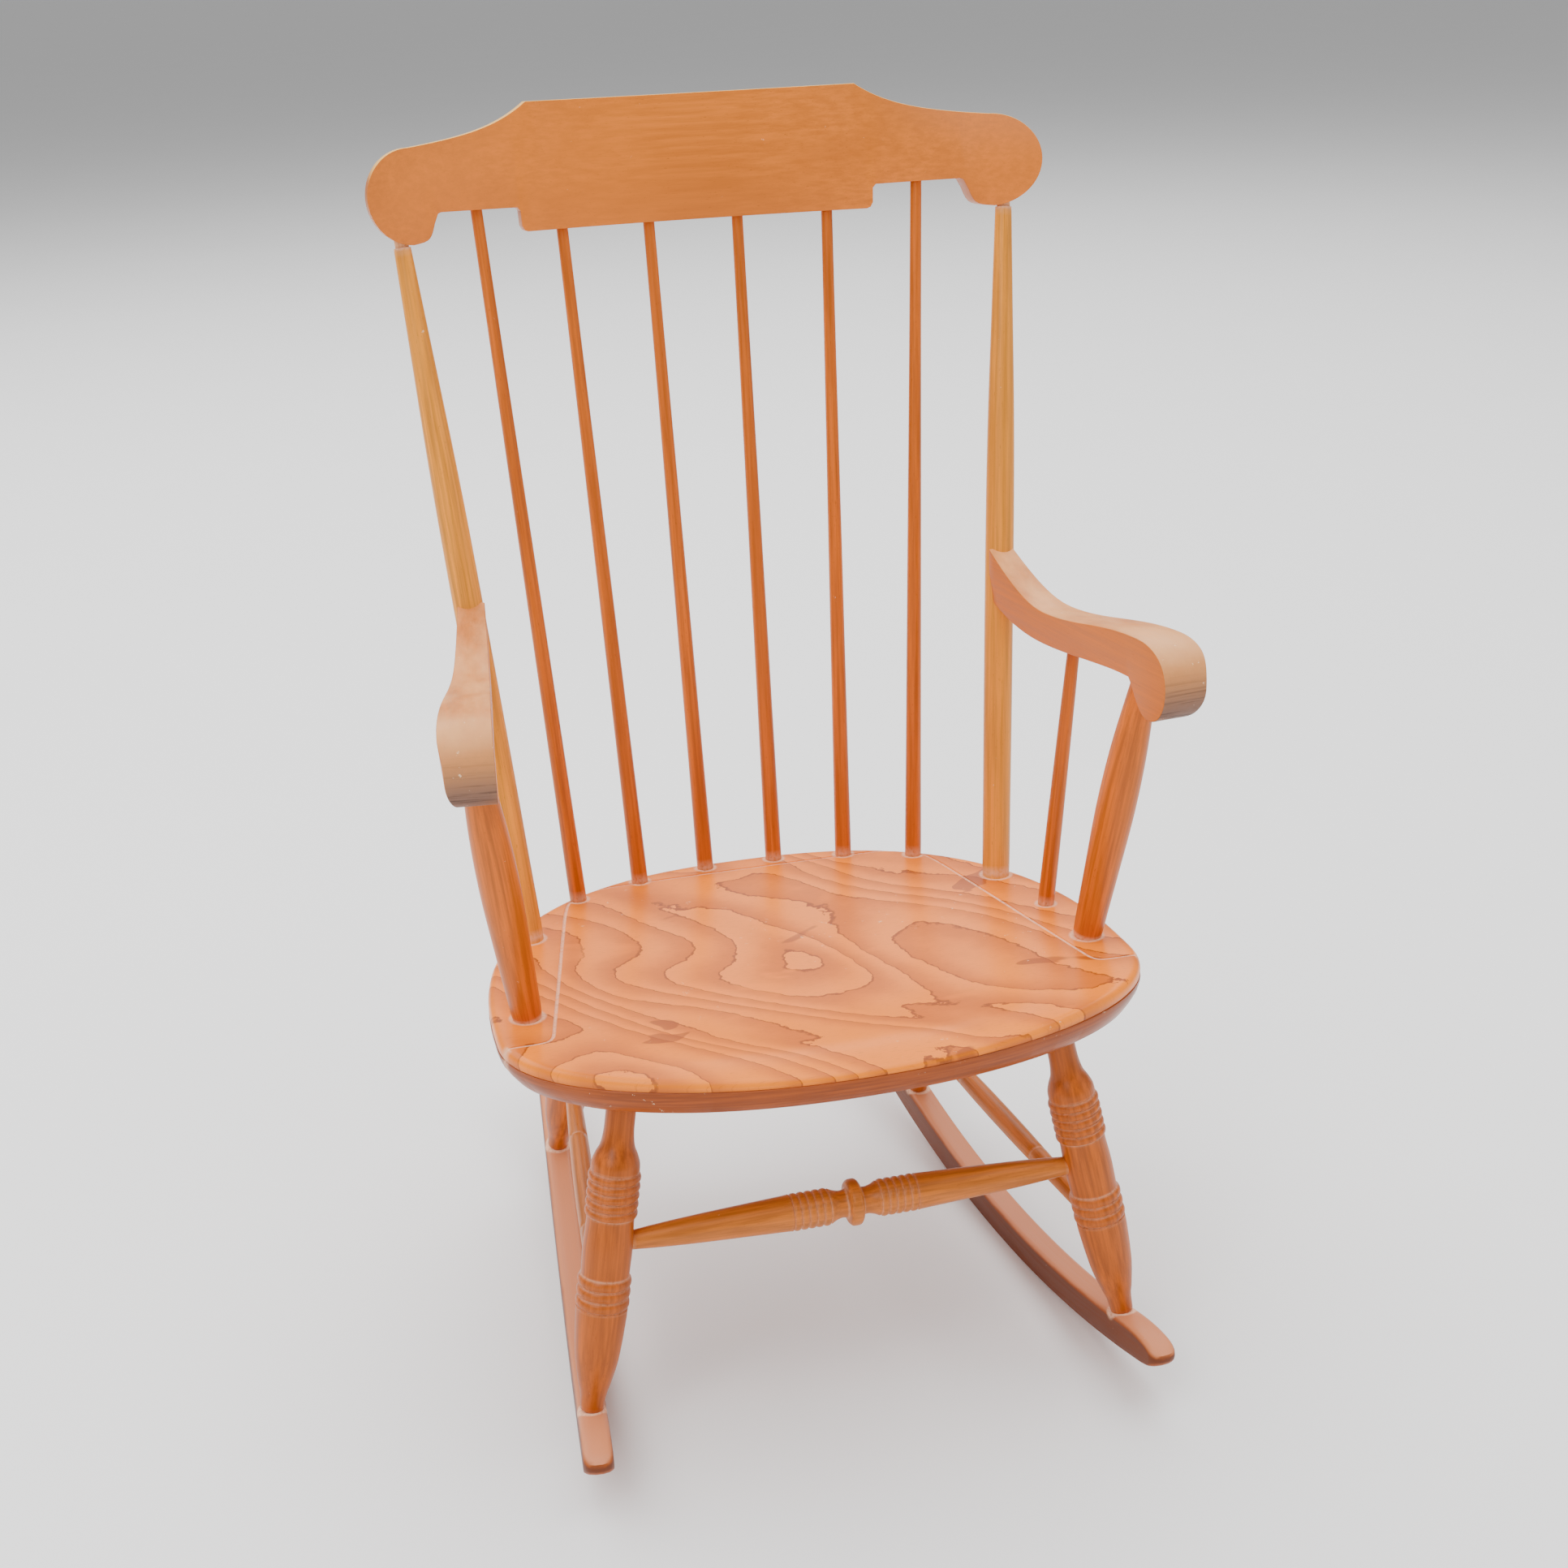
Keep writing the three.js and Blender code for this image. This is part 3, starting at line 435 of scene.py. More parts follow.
def rocker_wood(tint):
    """Rockers: painted shade on their sides, and a painted highlight, partly rubbed bare wood, that makes
    their tops pinkish.
    """
    nodes = Nodes("rocker_worn_varnish")
    grain, body, streaks, fibres = beech_parts(nodes, tint, 0.6)
    upward = nodes.facing("Z")
    # Painted highlight: faces that point up turn pinkish, in patches, partly rubbed bare wood.
    rubbed = nodes.noise(grain, (28, 28, 9), 4.0, 0.62)
    top = nodes.rise(nodes.plus(upward, nodes.times(rubbed, 0.9)), 0.75, 1.3, 0.0, 0.85)
    # Painted shade: faces that stand upright, the rockers' sides, turn dark.
    side = nodes.rise(nodes.unsigned(upward), 0.1, 0.5, 0.75, 0.0)
    body = nodes.mix(side, body, paint("rocker_side"))
    body = nodes.mix(top, body, paint("rocker_top"))
    body, chips = worn(nodes, grain, body, 0.8)
    body, dust = dusted(nodes, grain, body, foot_rings(nodes, nodes.place(), *rocker_joints()))
    rough = nodes.plus(nodes.rise(streaks, 0.3, 0.7, 0.4, 0.55), nodes.times(dust, 0.25))
    height = nodes.minus(nodes.times(fibres, 0.5), nodes.times(chips, 0.9))
    return nodes.finish(body, rough, height, VARNISH_COAT)


def screw_steel(tint):
    """Dull zinc on the screws."""
    nodes = Nodes("screw_zinc")
    tone = nodes.noise(nodes.place(), (300, 300, 300), 3.0)
    body = nodes.mix(nodes.rise(tone, 0.3, 0.7), shade(tint, 0.8), tint)
    nodes.shader.inputs["Metallic"].default_value = 1.0
    return nodes.finish(body, nodes.rise(tone, 0.3, 0.7, 0.35, 0.5), tone, 0.0)


def post_wood(tint):
    return turned_wood("post_varnish", tint, wear=0.8)


def spindle_wood(tint):
    return turned_wood("spindle_varnish", tint)


def leg_wood(tint):
    return turned_wood("leg_varnish", tint, wear=0.8, dust_amount=0.4)


def stretcher_wood(tint):
    return turned_wood("stretcher_varnish", tint, wear=0.8, dust_amount=0.4)


FINISHES = {}
FINISH_MAKERS = {
    "seat": seat_wood,
    "crest": crest_wood,
    "post": post_wood,
    "spindle": spindle_wood,
    "arm": arm_wood,
    "leg": leg_wood,
    "stretcher": stretcher_wood,
    "rocker": rocker_wood,
    "steel": screw_steel,
}


def finish_for(name):
    """The finish with that name, made once."""
    if name not in FINISHES:
        FINISHES[name] = FINISH_MAKERS[name](paint(name))
    return FINISHES[name]


# ---------------------------------------------------------------- modelling helpers


def deselect():
    if bpy.context.mode != "OBJECT":
        bpy.ops.object.mode_set(mode="OBJECT")
    bpy.ops.object.select_all(action="DESELECT")


def start_point(name, at):
    """A mesh of one vertex, in edit mode, ready to be extruded into an outline."""
    deselect()
    bpy.ops.mesh.primitive_plane_add(size=0.01, location=(0, 0, 0))
    piece = bpy.context.object
    piece.name = name
    bpy.ops.object.mode_set(mode="EDIT")
    bpy.ops.mesh.select_all(action="SELECT")
    bpy.ops.mesh.merge(type="CENTER")
    bpy.ops.transform.translate(value=at)
    return piece


def draw_outline(name, points):
    """Extrudes one vertex from point to point; leaves the whole outline in edit mode."""
    piece = start_point(name, points[0])
    for before, after in zip(points, points[1:]):
        step = Vector(after) - Vector(before)
        bpy.ops.mesh.extrude_region_move(TRANSFORM_OT_translate={"value": step})
    return piece


def set_attribute(piece, name, values):
    kind = "FLOAT_VECTOR" if values.ndim == 2 else "FLOAT"
    attribute = piece.data.attributes.new(name, kind, "POINT")
    field = "vector" if values.ndim == 2 else "value"
    attribute.data.foreach_set(field, values.astype(np.float32).ravel())


def vertices(piece):
    flat = np.zeros(len(piece.data.vertices) * 3, np.float32)
    piece.data.vertices.foreach_get("co", flat)
    return flat.reshape(-1, 3).astype(float)


def set_vertices(piece, points):
    piece.data.vertices.foreach_set("co", points.astype(np.float32).ravel())
    piece.data.update()


def select_only(piece):
    deselect()
    piece.select_set(True)
    bpy.context.view_layer.objects.active = piece


def apply_modifiers(piece):
    select_only(piece)
    for modifier in list(piece.modifiers):
        bpy.ops.object.modifier_apply(modifier=modifier.name)


def clean(piece, merge):
    """Merges points that lie together, and turns all faces outwards."""
    select_only(piece)
    bpy.ops.object.mode_set(mode="EDIT")
    bpy.ops.mesh.select_all(action="SELECT")
    bpy.ops.mesh.remove_doubles(threshold=merge)
    bpy.ops.mesh.normals_make_consistent(inside=False)
    bpy.ops.object.mode_set(mode="OBJECT")


def settle(piece, matrix):
    """Moves the finished mesh to its place, with the object itself back at the origin."""
    select_only(piece)
    piece.matrix_world = matrix
    bpy.ops.object.transform_apply(location=True, rotation=True, scale=True)


def copy_of(piece, name):
    """A copy of a piece, with a mesh of its own."""
    twin = piece.copy()
    twin.data = piece.data.copy()
    twin.name = name
    bpy.context.collection.objects.link(twin)
    return twin


def mirrored(piece, name):
    """A copy of a piece, mirrored for the chair's other side, with its faces turned outwards again."""
    twin = copy_of(piece, name)
    select_only(twin)
    bpy.ops.transform.mirror(constraint_axis=(True, False, False))
    bpy.ops.object.transform_apply(location=True, rotation=True, scale=True)
    clean(twin, 1e-7)
    return twin


def hand_over(piece, node, finish, smooth=40):
    """Gives a piece its finish and puts it in the place of its CAD node."""
    select_only(piece)
    bpy.ops.object.shade_smooth_by_angle(angle=math.radians(smooth))
    piece.data.materials.clear()
    piece.data.materials.append(finish_for(finish))
    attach(piece, "root")
    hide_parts(node)


def through(keys, steps):
    """A smooth run of points through the key points, by Catmull-Rom."""
    keys = [np.array(key, float) for key in keys]
    padded = [2 * keys[0] - keys[1], *keys, 2 * keys[-1] - keys[-2]]
    run = []
    for i in range(len(keys) - 1):
        a, b, c, d = padded[i : i + 4]
        for step in range(steps):
            t = step / steps
            point = 2 * b + (c - a) * t + (2 * a - 5 * b + 4 * c - d) * t**2
            run.append((point + (3 * b - a - 3 * c + d) * t**3) / 2)
    run.append(keys[-1])
    return run


def joined_curves(start, *legs):
    """Points along curves that follow each other; a leg gives its two handles, its end and its steps."""
    run = []
    for first, second, end, steps in legs:
        run += curve(start, first, second, end, steps)
        start = end
    run.append(np.array(start, float))
    return run


def curve(start, first, second, end, steps):
    """Points of a cubic curve, without its last one."""
    p = [np.array(q, float) for q in (start, first, second, end)]
    run = []
    for step in range(steps):
        t = step / steps
        u = 1 - t
        run.append(u**3 * p[0] + 3 * u * u * t * p[1] + 3 * u * t * t * p[2] + t**3 * p[3])
    return run


# ---------------------------------------------------------------- turned pieces


GRAIN_SHIFT = np.array((0.37, 0.21, 0.53))


def axis_of(node):
    """The middles of a turned CAD piece's two ends, lower end first."""
    points = vertices(frame["nodes"][node])
    spread = points - points.mean(0)
    direction = np.linalg.svd(spread, full_matrices=False)[2][0]
    if direction[2] < -1e-3 or (abs(direction[2]) < 1e-3 and direction[0] < 0):
        direction = -direction
    along = spread @ direction
    low = points[along < along.min() + 0.2 * MM].mean(0)
    high = points[along > along.max() - 0.2 * MM].mean(0)
    return Vector(low), Vector(high)


def pair_of(kind):
    return [f"{kind}_{word}" for word, _ in SIDES]


def turn_piece(name, profile, dust_lines=(), dust_width=0.9):
    """A turned piece standing at the origin: its profile, (distance, radius) in mm, is spun round z."""
    points = [(0.0, 0.0, profile[0][0] * MM)]
    points += [(radius * MM, 0.0, along * MM) for along, radius in profile]
    points.append((0.0, 0.0, profile[-1][0] * MM))
    piece = draw_outline(name, points)
    bpy.ops.mesh.select_all(action="SELECT")
    steps = sizes().turning_steps
    bpy.ops.mesh.spin(steps=steps, angle=math.tau, center=(0, 0, 0), axis=(0, 0, 1))
    bpy.ops.object.mode_set(mode="OBJECT")
    clean(piece, 2e-6)
    place = vertices(piece)
    dust = np.zeros(len(place))
    for line in dust_lines:
        dust = np.maximum(dust, np.exp(-(((place[:, 2] / MM - line) / dust_width) ** 2)))
    set_attribute(piece, "dust", dust)
    return piece


def place_turned(pattern, nodes, finish, seeds):
    """Stands a turned piece at the first of its CAD nodes, and a copy at each of the others."""
    pieces = [pattern] + [copy_of(pattern, pattern.name) for _ in nodes[1:]]
    for piece, node, seed in zip(pieces, nodes, seeds):
        piece.name = f"{node}_smooth"
        stand(piece, node, seed)
        hand_over(piece, node, finish, 50)


def stand(piece, node, seed):
    """Puts a turned piece on its CAD node's axis, with a grain of its own."""
    low, high = axis_of(node)
    place = vertices(piece)
    set_attribute(piece, "grain", place + seed * GRAIN_SHIFT)
    turn = (high - low).to_track_quat("Z", "Y").to_matrix().to_4x4()
    settle(piece, Matrix.Translation(low) @ turn)


def node_length(node):
    low, high = axis_of(node)
    return (high - low).length / MM


def span_above_seat(end):
    """How much of a post or spindle shows between its two tenons."""
    return end - SEAT_TENON - HEAD_TENON


# Lengths of the tenons, and radii of the turned pieces' tenons, in mm.
SEAT_TENON = 14.4
HEAD_TENON = 16.0
ROCKER_TENON = 14.04
STRETCHER_TENON = 13.0
POST_FOOT = 9.5
POST_HEAD = 5.6
SPINDLE_FOOT = 5.8
SPINDLE_HEAD = 4.8
ARM_SPINDLE_FOOT = 5.6
ARM_SPINDLE_HEAD = 5.2
LEG_FOOT = 6.5
LEG_HEAD = 9.5
FRONT_STRETCHER_END = 7.0
PLAIN_STRETCHER_END = 5.6

# Radii of the feet that stand on the seat and on the rockers, in mm.
POST_FLARE = 12.0
SPINDLE_FLARE = 7.4
ARM_SPINDLE_FLARE = 7.0
LEG_FLARE = 10.0

# The height that the leg's shape is drawn for, and its beads: start, end and count, in mm.
DRAWN_LEG = 272
LOWER_BEADS = (89, 116, 3)
UPPER_BEADS = (165, 202, 5)
LOWER_BEAD_RADIUS = 21.5
UPPER_BEAD_RADIUS = 21
LEG_BEAD_DEPTH = 2.2
BEAD_FULLNESS = 0.55

# The stretchers' beads and rings: distances from the middle, and radii, in mm.
STRETCHER_BEADS = (21, 52, 5)
STRETCHER_BEAD_RADIUS = 15.2
STRETCHER_BEAD_DEPTH = 1.6
COLLAR_HALF = 6.5
RING_FROM_MIDDLE = 72


def body_of_turning(tenon, tenon_radius, keys, end, end_radius, steps=6):
    """A turned profile between two tenons; distances start at the lower tenon's end."""
    smooth = [tuple(point) for point in through(keys, steps)]
    profile = [(0, tenon_radius), (tenon + keys[0][0], tenon_radius)]
    profile += [(tenon + along, radius) for along, radius in smooth]
    profile += [(tenon + keys[-1][0] + 0.2, end_radius), (end, end_radius)]
    return profile


def rounded_beads(start, end, count, radius, depth, steps=6):
    """Full-round beads side by side, with a narrow groove between each and the next."""
    pitch = (end - start) / count
    profile = []
    for bead in range(count):
        for step in range(steps):
            hollow = depth * (1 - math.sin(math.pi * step / steps) ** BEAD_FULLNESS)
            profile.append((start + pitch * (bead + step / steps), radius - hollow))
    profile.append((end, radius - depth))
    return profile


def bead_grooves(start, end, count):
    """Where the narrow grooves lie at and between the beads."""
    return [start + (end - start) / count * groove for groove in range(count + 1)]


def make_back_posts():
    nodes = pair_of("back_post")
    end = node_length(nodes[0])
    span = span_above_seat(end)
    keys = [(-1, POST_FOOT), (3, POST_FLARE), (span * 0.12, 12.3), (span * 0.3, 12.6),
            (span * 0.55, 12.4), (span * 0.7, 11.4), (span * 0.85, 9.2), (span - 10, 7.2), (span - 3, 6.8)]
    profile = body_of_turning(SEAT_TENON, POST_FOOT, keys, end, POST_HEAD)
    post = turn_piece("back_post", profile, [SEAT_TENON + 2, SEAT_TENON + span - 2], 2.2)
    place_turned(post, nodes, "post", (1, 2))


def make_back_spindles():
    """The spindles differ in length from the middle outwards, and each has its like on the other side."""
    for number in range(1, SPINDLES // 2 + 1):
        fellow = SPINDLES + 1 - number
        nodes = [f"back_spindle_{number}", f"back_spindle_{fellow}"]
        end = node_length(nodes[0])
        span = span_above_seat(end)
        keys = [(-0.5, SPINDLE_FOOT), (2, SPINDLE_FLARE), (span * 0.15, 7), (span * 0.5, 6.1),
                (span * 0.8, 5.2), (span, SPINDLE_HEAD)]
        profile = body_of_turning(SEAT_TENON, SPINDLE_FOOT, keys, end, SPINDLE_HEAD)
        spindle = turn_piece("back_spindle", profile, [SEAT_TENON + 1], 1.4)
        place_turned(spindle, nodes, "spindle", (number + 3, fellow + 3))


def make_arm_posts():
    nodes = pair_of("arm_post")
    end = node_length(nodes[0])
    span = span_above_seat(end)
    keys = [(-1, POST_FOOT), (3, POST_FLARE), (span * 0.12, 13.1), (span * 0.25, 14.2), (span * 0.5, 16),
            (span * 0.72, 15), (span * 0.92, 11.5), (span + 2, POST_FOOT)]
    profile = body_of_turning(SEAT_TENON, POST_FOOT, keys, end, POST_FOOT)
    post = turn_piece("arm_post", profile, [SEAT_TENON + 2], 2)
    place_turned(post, nodes, "spindle", (11, 12))


def make_arm_spindles():
    nodes = pair_of("arm_spindle")
    end = node_length(nodes[0])
    span = span_above_seat(end)
    keys = [(-0.5, ARM_SPINDLE_FOOT), (2, ARM_SPINDLE_FLARE), (span * 0.3, 6.8), (span * 0.7, 6),
            (span, ARM_SPINDLE_HEAD)]
    profile = body_of_turning(SEAT_TENON, ARM_SPINDLE_FOOT, keys, end, ARM_SPINDLE_HEAD)
    spindle = turn_piece("arm_spindle", profile, [SEAT_TENON + 1], 1.4)
    place_turned(spindle, nodes, "spindle", (14, 15))


def leg_turning(end):
    """A leg: slim foot, barrel, three beads, barrel, five beads, shoulder and neck."""
    share = (end - ROCKER_TENON - SEAT_TENON) / DRAWN_LEG
    foot = [(1.5, 9.4), (14, 10.6), (25, 13.4), (42, 17), (60, 19), (80, 20.4), (88.2, 20.6)]
    barrel = [(116.8, 19.3), (122, 19.4), (140, 19.8), (158, 19), (164.2, 18.9)]
    neck = [(202.8, 19.4), (210, 19), (217, 16.6), (224, 13.6), (236, 12), (254, 11.9), (269, 11.8)]
    lower = rounded_beads(*LOWER_BEADS, LOWER_BEAD_RADIUS, LEG_BEAD_DEPTH)
    upper = rounded_beads(*UPPER_BEADS, UPPER_BEAD_RADIUS, LEG_BEAD_DEPTH)
    drawn = [(1, 9.0), *through(foot, 4), *lower, *through(barrel, 4), *upper, *through(neck, 4)]
    profile = [(0, LEG_FOOT), (ROCKER_TENON - 0.5, LEG_FOOT)]
    profile += [(ROCKER_TENON + along * share, radius) for along, radius in drawn]
    profile += [(end - SEAT_TENON, LEG_HEAD), (end, LEG_HEAD)]
    grooves = bead_grooves(*LOWER_BEADS) + bead_grooves(*UPPER_BEADS)
    dust = [ROCKER_TENON + groove * share for groove in grooves] + [ROCKER_TENON + 0.5]
    return profile, dust


def make_legs():
    for kind, seeds in (("front_leg", (20, 21)), ("rear_leg", (22, 23))):
        nodes = pair_of(kind)
        profile, dust = leg_turning(node_length(nodes[0]))
        leg = turn_piece(kind, profile, dust, 0.7)
        place_turned(leg, nodes, "leg", seeds)


def mirrored_half(half, middle):
    """A profile and its mirror image beyond the middle, which both share."""
    return [*half, *[(2 * middle - along, radius) for along, radius in reversed(half)][1:]]


def front_turning(end):
    """The front stretcher: tapered ends, five beads each side, and a collar between two coves."""
    middle = (end - 2 * STRETCHER_TENON) / 2
    near, far, count = STRETCHER_BEADS
    rise = [(0.4, 7.4), (24, 9.4), (60, 11.6), (middle - far - 8, 14.4), (middle - far - 1, 14.9)]
    beads = rounded_beads(middle - far, middle - near, count,
                          STRETCHER_BEAD_RADIUS, STRETCHER_BEAD_DEPTH)
    cove = [(middle - near + 1, 14.2), (middle - 16, 12.2), (middle - 11, 11), (middle - 7, 11.6),
            (middle - 5.6, 13.5), (middle - 5.2, 16.4), (middle - 3, 18.6), (middle, 19)]
    body = mirrored_half([*through(rise, 5), *beads, *through(cove, 4)], middle)
    profile = [(STRETCHER_TENON + along, radius) for along, radius in body]
    profile = [(0, FRONT_STRETCHER_END), *profile, (end, FRONT_STRETCHER_END)]
    grooves = (*bead_grooves(near, far, count), COLLAR_HALF)
    shifts = [side * groove for side in (-1, 1) for groove in grooves]
    dust = [STRETCHER_TENON + middle + shift for shift in shifts]
    return profile, [*dust, STRETCHER_TENON, end - STRETCHER_TENON]


def make_front_stretcher():
    profile, dust = front_turning(node_length("front_stretcher"))
    stretcher = turn_piece("front_stretcher", profile, dust, 0.7)
    place_turned(stretcher, ["front_stretcher"], "stretcher", (31,))


def plain_turning(end):
    """A plain stretcher that swells to the middle, with a ring cut on each side of it."""
    middle = (end - 2 * STRETCHER_TENON) / 2
    ring = RING_FROM_MIDDLE
    rise = [(0.4, 6), (16, 7), (middle - 110, 7.8), (middle - ring - 2, 8.5)]
    swell = [(middle - ring + 2, 8.5), (middle - 40, 9), (middle, 9.2)]
    half = [*through(rise, 5), (middle - ring, 7.6), *through(swell, 5)]
    body = [(STRETCHER_TENON + along, radius) for along, radius in mirrored_half(half, middle)]
    ends = [(0, PLAIN_STRETCHER_END), (STRETCHER_TENON, PLAIN_STRETCHER_END)]
    far_ends = [(end - STRETCHER_TENON, PLAIN_STRETCHER_END), (end, PLAIN_STRETCHER_END)]
    return [*ends, *body, *far_ends], [STRETCHER_TENON + middle - ring, STRETCHER_TENON + middle + ring]


def make_plain_stretchers():
    for nodes, seeds in ((["rear_stretcher"], (34,)), (pair_of("side_stretcher"), (35, 36))):
        profile, rings = plain_turning(node_length(nodes[0]))
        stretcher = turn_piece(nodes[0], profile, rings, 1.0)
        place_turned(stretcher, nodes, "stretcher", seeds)


# ---------------------------------------------------------------- seat

SEAT_HALF = 0.267
SEAT_WIDEST = -0.180
SEAT_BACK = 0.120
SEAT_FRONT = -0.318
SEAT_THICK = 0.032
RIM_BOTTOM = 0.45 * SEAT_THICK
BACK_POWER = 2.45
FRONT_POWER = 2.15
DISH = 0.007
DISH_EDGE = 0.8
FRONT_ROLL = 0.008
ROLL_WIDTH = 0.045
SEAT_STEPS = 128
RING_LIFT = 0.001
FIGURE_TURN = math.radians(48)

# The routed line: where it enters from the side, its front corner and rear shoulder, and its rear run.
GROOVE_ENTRY = -0.203
GROOVE_OVERRUN = 0.004
GROOVE_CORNER = 0.042
GROOVE_SHOULDER = 0.103
GROOVE_REAR = SEAT_BACK - 0.028

# The depth where the rim's dark stain starts and how fast it deepens, and the depth where the lip is
# rubbed most, which is marked only on points this far out.
STAIN_STARTS = 0.0093
STAIN_FADE = 0.0008
LIP_DEPTH = 0.0035
LIP_SHARE = 0.95


def seat_outline(turn, scale):
    """A point of the seat's outline, shrunk about its widest place by the scale."""
    back = math.sin(turn) > 0
    power = 2 / (BACK_POWER if back else FRONT_POWER)
    depth = SEAT_BACK - SEAT_WIDEST if back else SEAT_WIDEST - SEAT_FRONT
    wide = math.copysign(abs(math.cos(turn)) ** power, math.cos(turn))
    deep = math.copysign(abs(math.sin(turn)) ** power, math.sin(turn))
    return scale * wide * SEAT_HALF, SEAT_WIDEST + scale * deep * depth


def seat_height(scale, y, z):
    """The height of a seat point once the dish is scooped and the front edge is rolled down."""
    fade = max(0.0, 1 + z / RIM_BOTTOM) if z < 0 else 1.0
    sag = DISH * (1 - (scale / DISH_EDGE) ** 2) ** 1.5 if z == 0 and scale < DISH_EDGE else 0.0
    roll = FRONT_ROLL * max(0.0, (SEAT_FRONT + ROLL_WIDTH - y) / ROLL_WIDTH) ** 2
    return z - sag - roll * fade


def outline_share(points):
    """How far out each point lies: 1 on the seat's outline and 0 in its middle."""
    depth = np.where(points[:, 1] > SEAT_WIDEST, SEAT_BACK - SEAT_WIDEST, SEAT_WIDEST - SEAT_FRONT)
    power = np.where(points[:, 1] > SEAT_WIDEST, BACK_POWER, FRONT_POWER)
    wide = np.abs(points[:, 0] / SEAT_HALF) ** power
    deep = np.abs((points[:, 1] - SEAT_WIDEST) / depth) ** power
    return (wide + deep) ** (1 / power)


def groove_path():
    """The routed line's right half, from the side edge to the middle of the back."""
    side, entry = SEAT_HALF, GROOVE_ENTRY
    corner = (side - GROOVE_CORNER, entry)
    shoulder = (side - GROOVE_SHOULDER, GROOVE_REAR - 0.002)
    path = [np.array((side + GROOVE_OVERRUN, entry))]
    path += curve((side - 0.018, entry), corner, corner, (side - 0.047, entry + 0.028), 10)
    path += curve((side - 0.087, 0.015), shoulder, shoulder, (side - 0.177, GROOVE_REAR), 16)
    path.append(np.array((0.0, GROOVE_REAR)))
    return path


def groove_cutter():
    """A round bar along the routed line, sunk so that it cuts to the line's depth."""
    half = groove_path()
    whole = [(x, y, 0.0) for x, y in half] + [(-x, y, 0.0) for x, y in reversed(half[:-1])]
    draw_outline("groove_cutter", whole)
    bpy.ops.object.mode_set(mode="OBJECT")
    bpy.ops.object.convert(target="CURVE")
    bar = bpy.context.object.data
    bar.bevel_depth = sizes().groove_width / 2
    bar.bevel_resolution = 3
    bar.use_fill_caps = True
    bpy.ops.object.convert(target="MESH")
    cutter = bpy.context.object
    settle(cutter, Matrix.Translation((0, 0, sizes().groove_width / 2 - sizes().groove_depth)))
    return cutter


def unrolled_depth(points):
    """Each point's height as it was before the seat's front edge was rolled down."""
    roll = FRONT_ROLL * np.clip((SEAT_FRONT + ROLL_WIDTH - points[:, 1]) / ROLL_WIDTH, 0, None) ** 2
    depth = (points[:, 2] + roll) / (1 - roll / RIM_BOTTOM)
    return np.where(depth < -RIM_BOTTOM, points[:, 2], depth)


def seat_joints():
    """Where posts and spindles stand on the seat, in the design frame, with their foot radii."""
    feet = [(node, POST_FLARE) for node in (*pair_of("back_post"), *pair_of("arm_post"))]
    feet += [(node, ARM_SPINDLE_FLARE) for node in pair_of("arm_spindle")]
    feet += [(f"back_spindle_{number}", SPINDLE_FLARE) for number in range(1, SPINDLES + 1)]
    back = REST.inverted()
    centres = []
    for node, _ in feet:
        low, high = axis_of(node)
        low, high = back @ low, back @ high
        centres.append(low.lerp(high, -low.z / (high.z - low.z)))
    return centres, [radius * MM for _, radius in feet]


def seat_rings():
    """The seat's rings, each a scale and a height, from under its rim and round to its middle."""
    edge = [(14, -SEAT_THICK), (9.5, -SEAT_THICK * 0.93), (5, -SEAT_THICK * 0.75),
            (1.6, -SEAT_THICK * 0.58), (0, -SEAT_THICK * 0.42), (0.2, -0.0112), (1.3, -0.0105),
            (0.5, -0.0096), (0.2, -0.006), (0.8, -0.0036), (2.2, -0.0017), (4.2, -0.0005),
            (6.5, 0), (11, 0), (16, 0)]
    rings = [(1 - inset * MM / SEAT_HALF, height) for inset, height in edge]
    rings += [(DISH_EDGE - 0.02 + 0.145 * (1 - step / 6), 0.0) for step in range(1, 6)]
    return rings + [(DISH_EDGE * (1 - step / 16), 0.0) for step in range(0, 15)]


def seat_blank():
    """The seat before its line is routed: a filled circle, extruded ring by ring and shaped."""
    rings = seat_rings()
    deselect()
    bpy.ops.mesh.primitive_circle_add(vertices=SEAT_STEPS, radius=SEAT_HALF, fill_type="NGON")
    seat = bpy.context.object
    seat.name = "seat_smooth"
    bpy.ops.object.mode_set(mode="EDIT")
    for _ in rings[1:]:
        bpy.ops.mesh.extrude_region_move(TRANSFORM_OT_translate={"value": (0, 0, RING_LIFT)})
    bpy.ops.object.mode_set(mode="OBJECT")
    shape = vertices(seat)
    level = np.round(shape[:, 2] / RING_LIFT).astype(int)
    for i, (x, y, _) in enumerate(shape):
        scale, height = rings[level[i]]
        across, along = seat_outline(math.atan2(y, x), scale)
        shape[i] = (across, along, seat_height(scale, along, height))
    set_vertices(seat, shape)
    clean(seat, 1e-6)
    return seat


def rout_groove(seat):
    """Cuts the decorative line into the top of the seat."""
    cutter = groove_cutter()
    carve = seat.modifiers.new("groove", "BOOLEAN")
    carve.operation = "DIFFERENCE"
    carve.solver = "EXACT"
    carve.object = cutter
    apply_modifiers(seat)
    bpy.data.objects.remove(cutter)


def mark_seat(seat):
    """Marks where the seat's finish changes: its groove, its stained rim and its rubbed lip."""
    place = vertices(seat)
    depth = unrolled_depth(place)
    lip = np.clip(1 - np.abs(depth + LIP_DEPTH) / LIP_DEPTH, 0, 1)
    set_attribute(seat, "grain", place)
    set_attribute(seat, "groove", groove_mark(place))
    set_attribute(seat, "rim", np.clip((-depth - STAIN_STARTS) / STAIN_FADE, 0, 1))
    set_attribute(seat, "lip", lip * (outline_share(place) > LIP_SHARE))


def make_seat():
    seat = seat_blank()
    rout_groove(seat)
    mark_seat(seat)
    settle(seat, REST)
    hand_over(seat, "seat", "seat", 32)


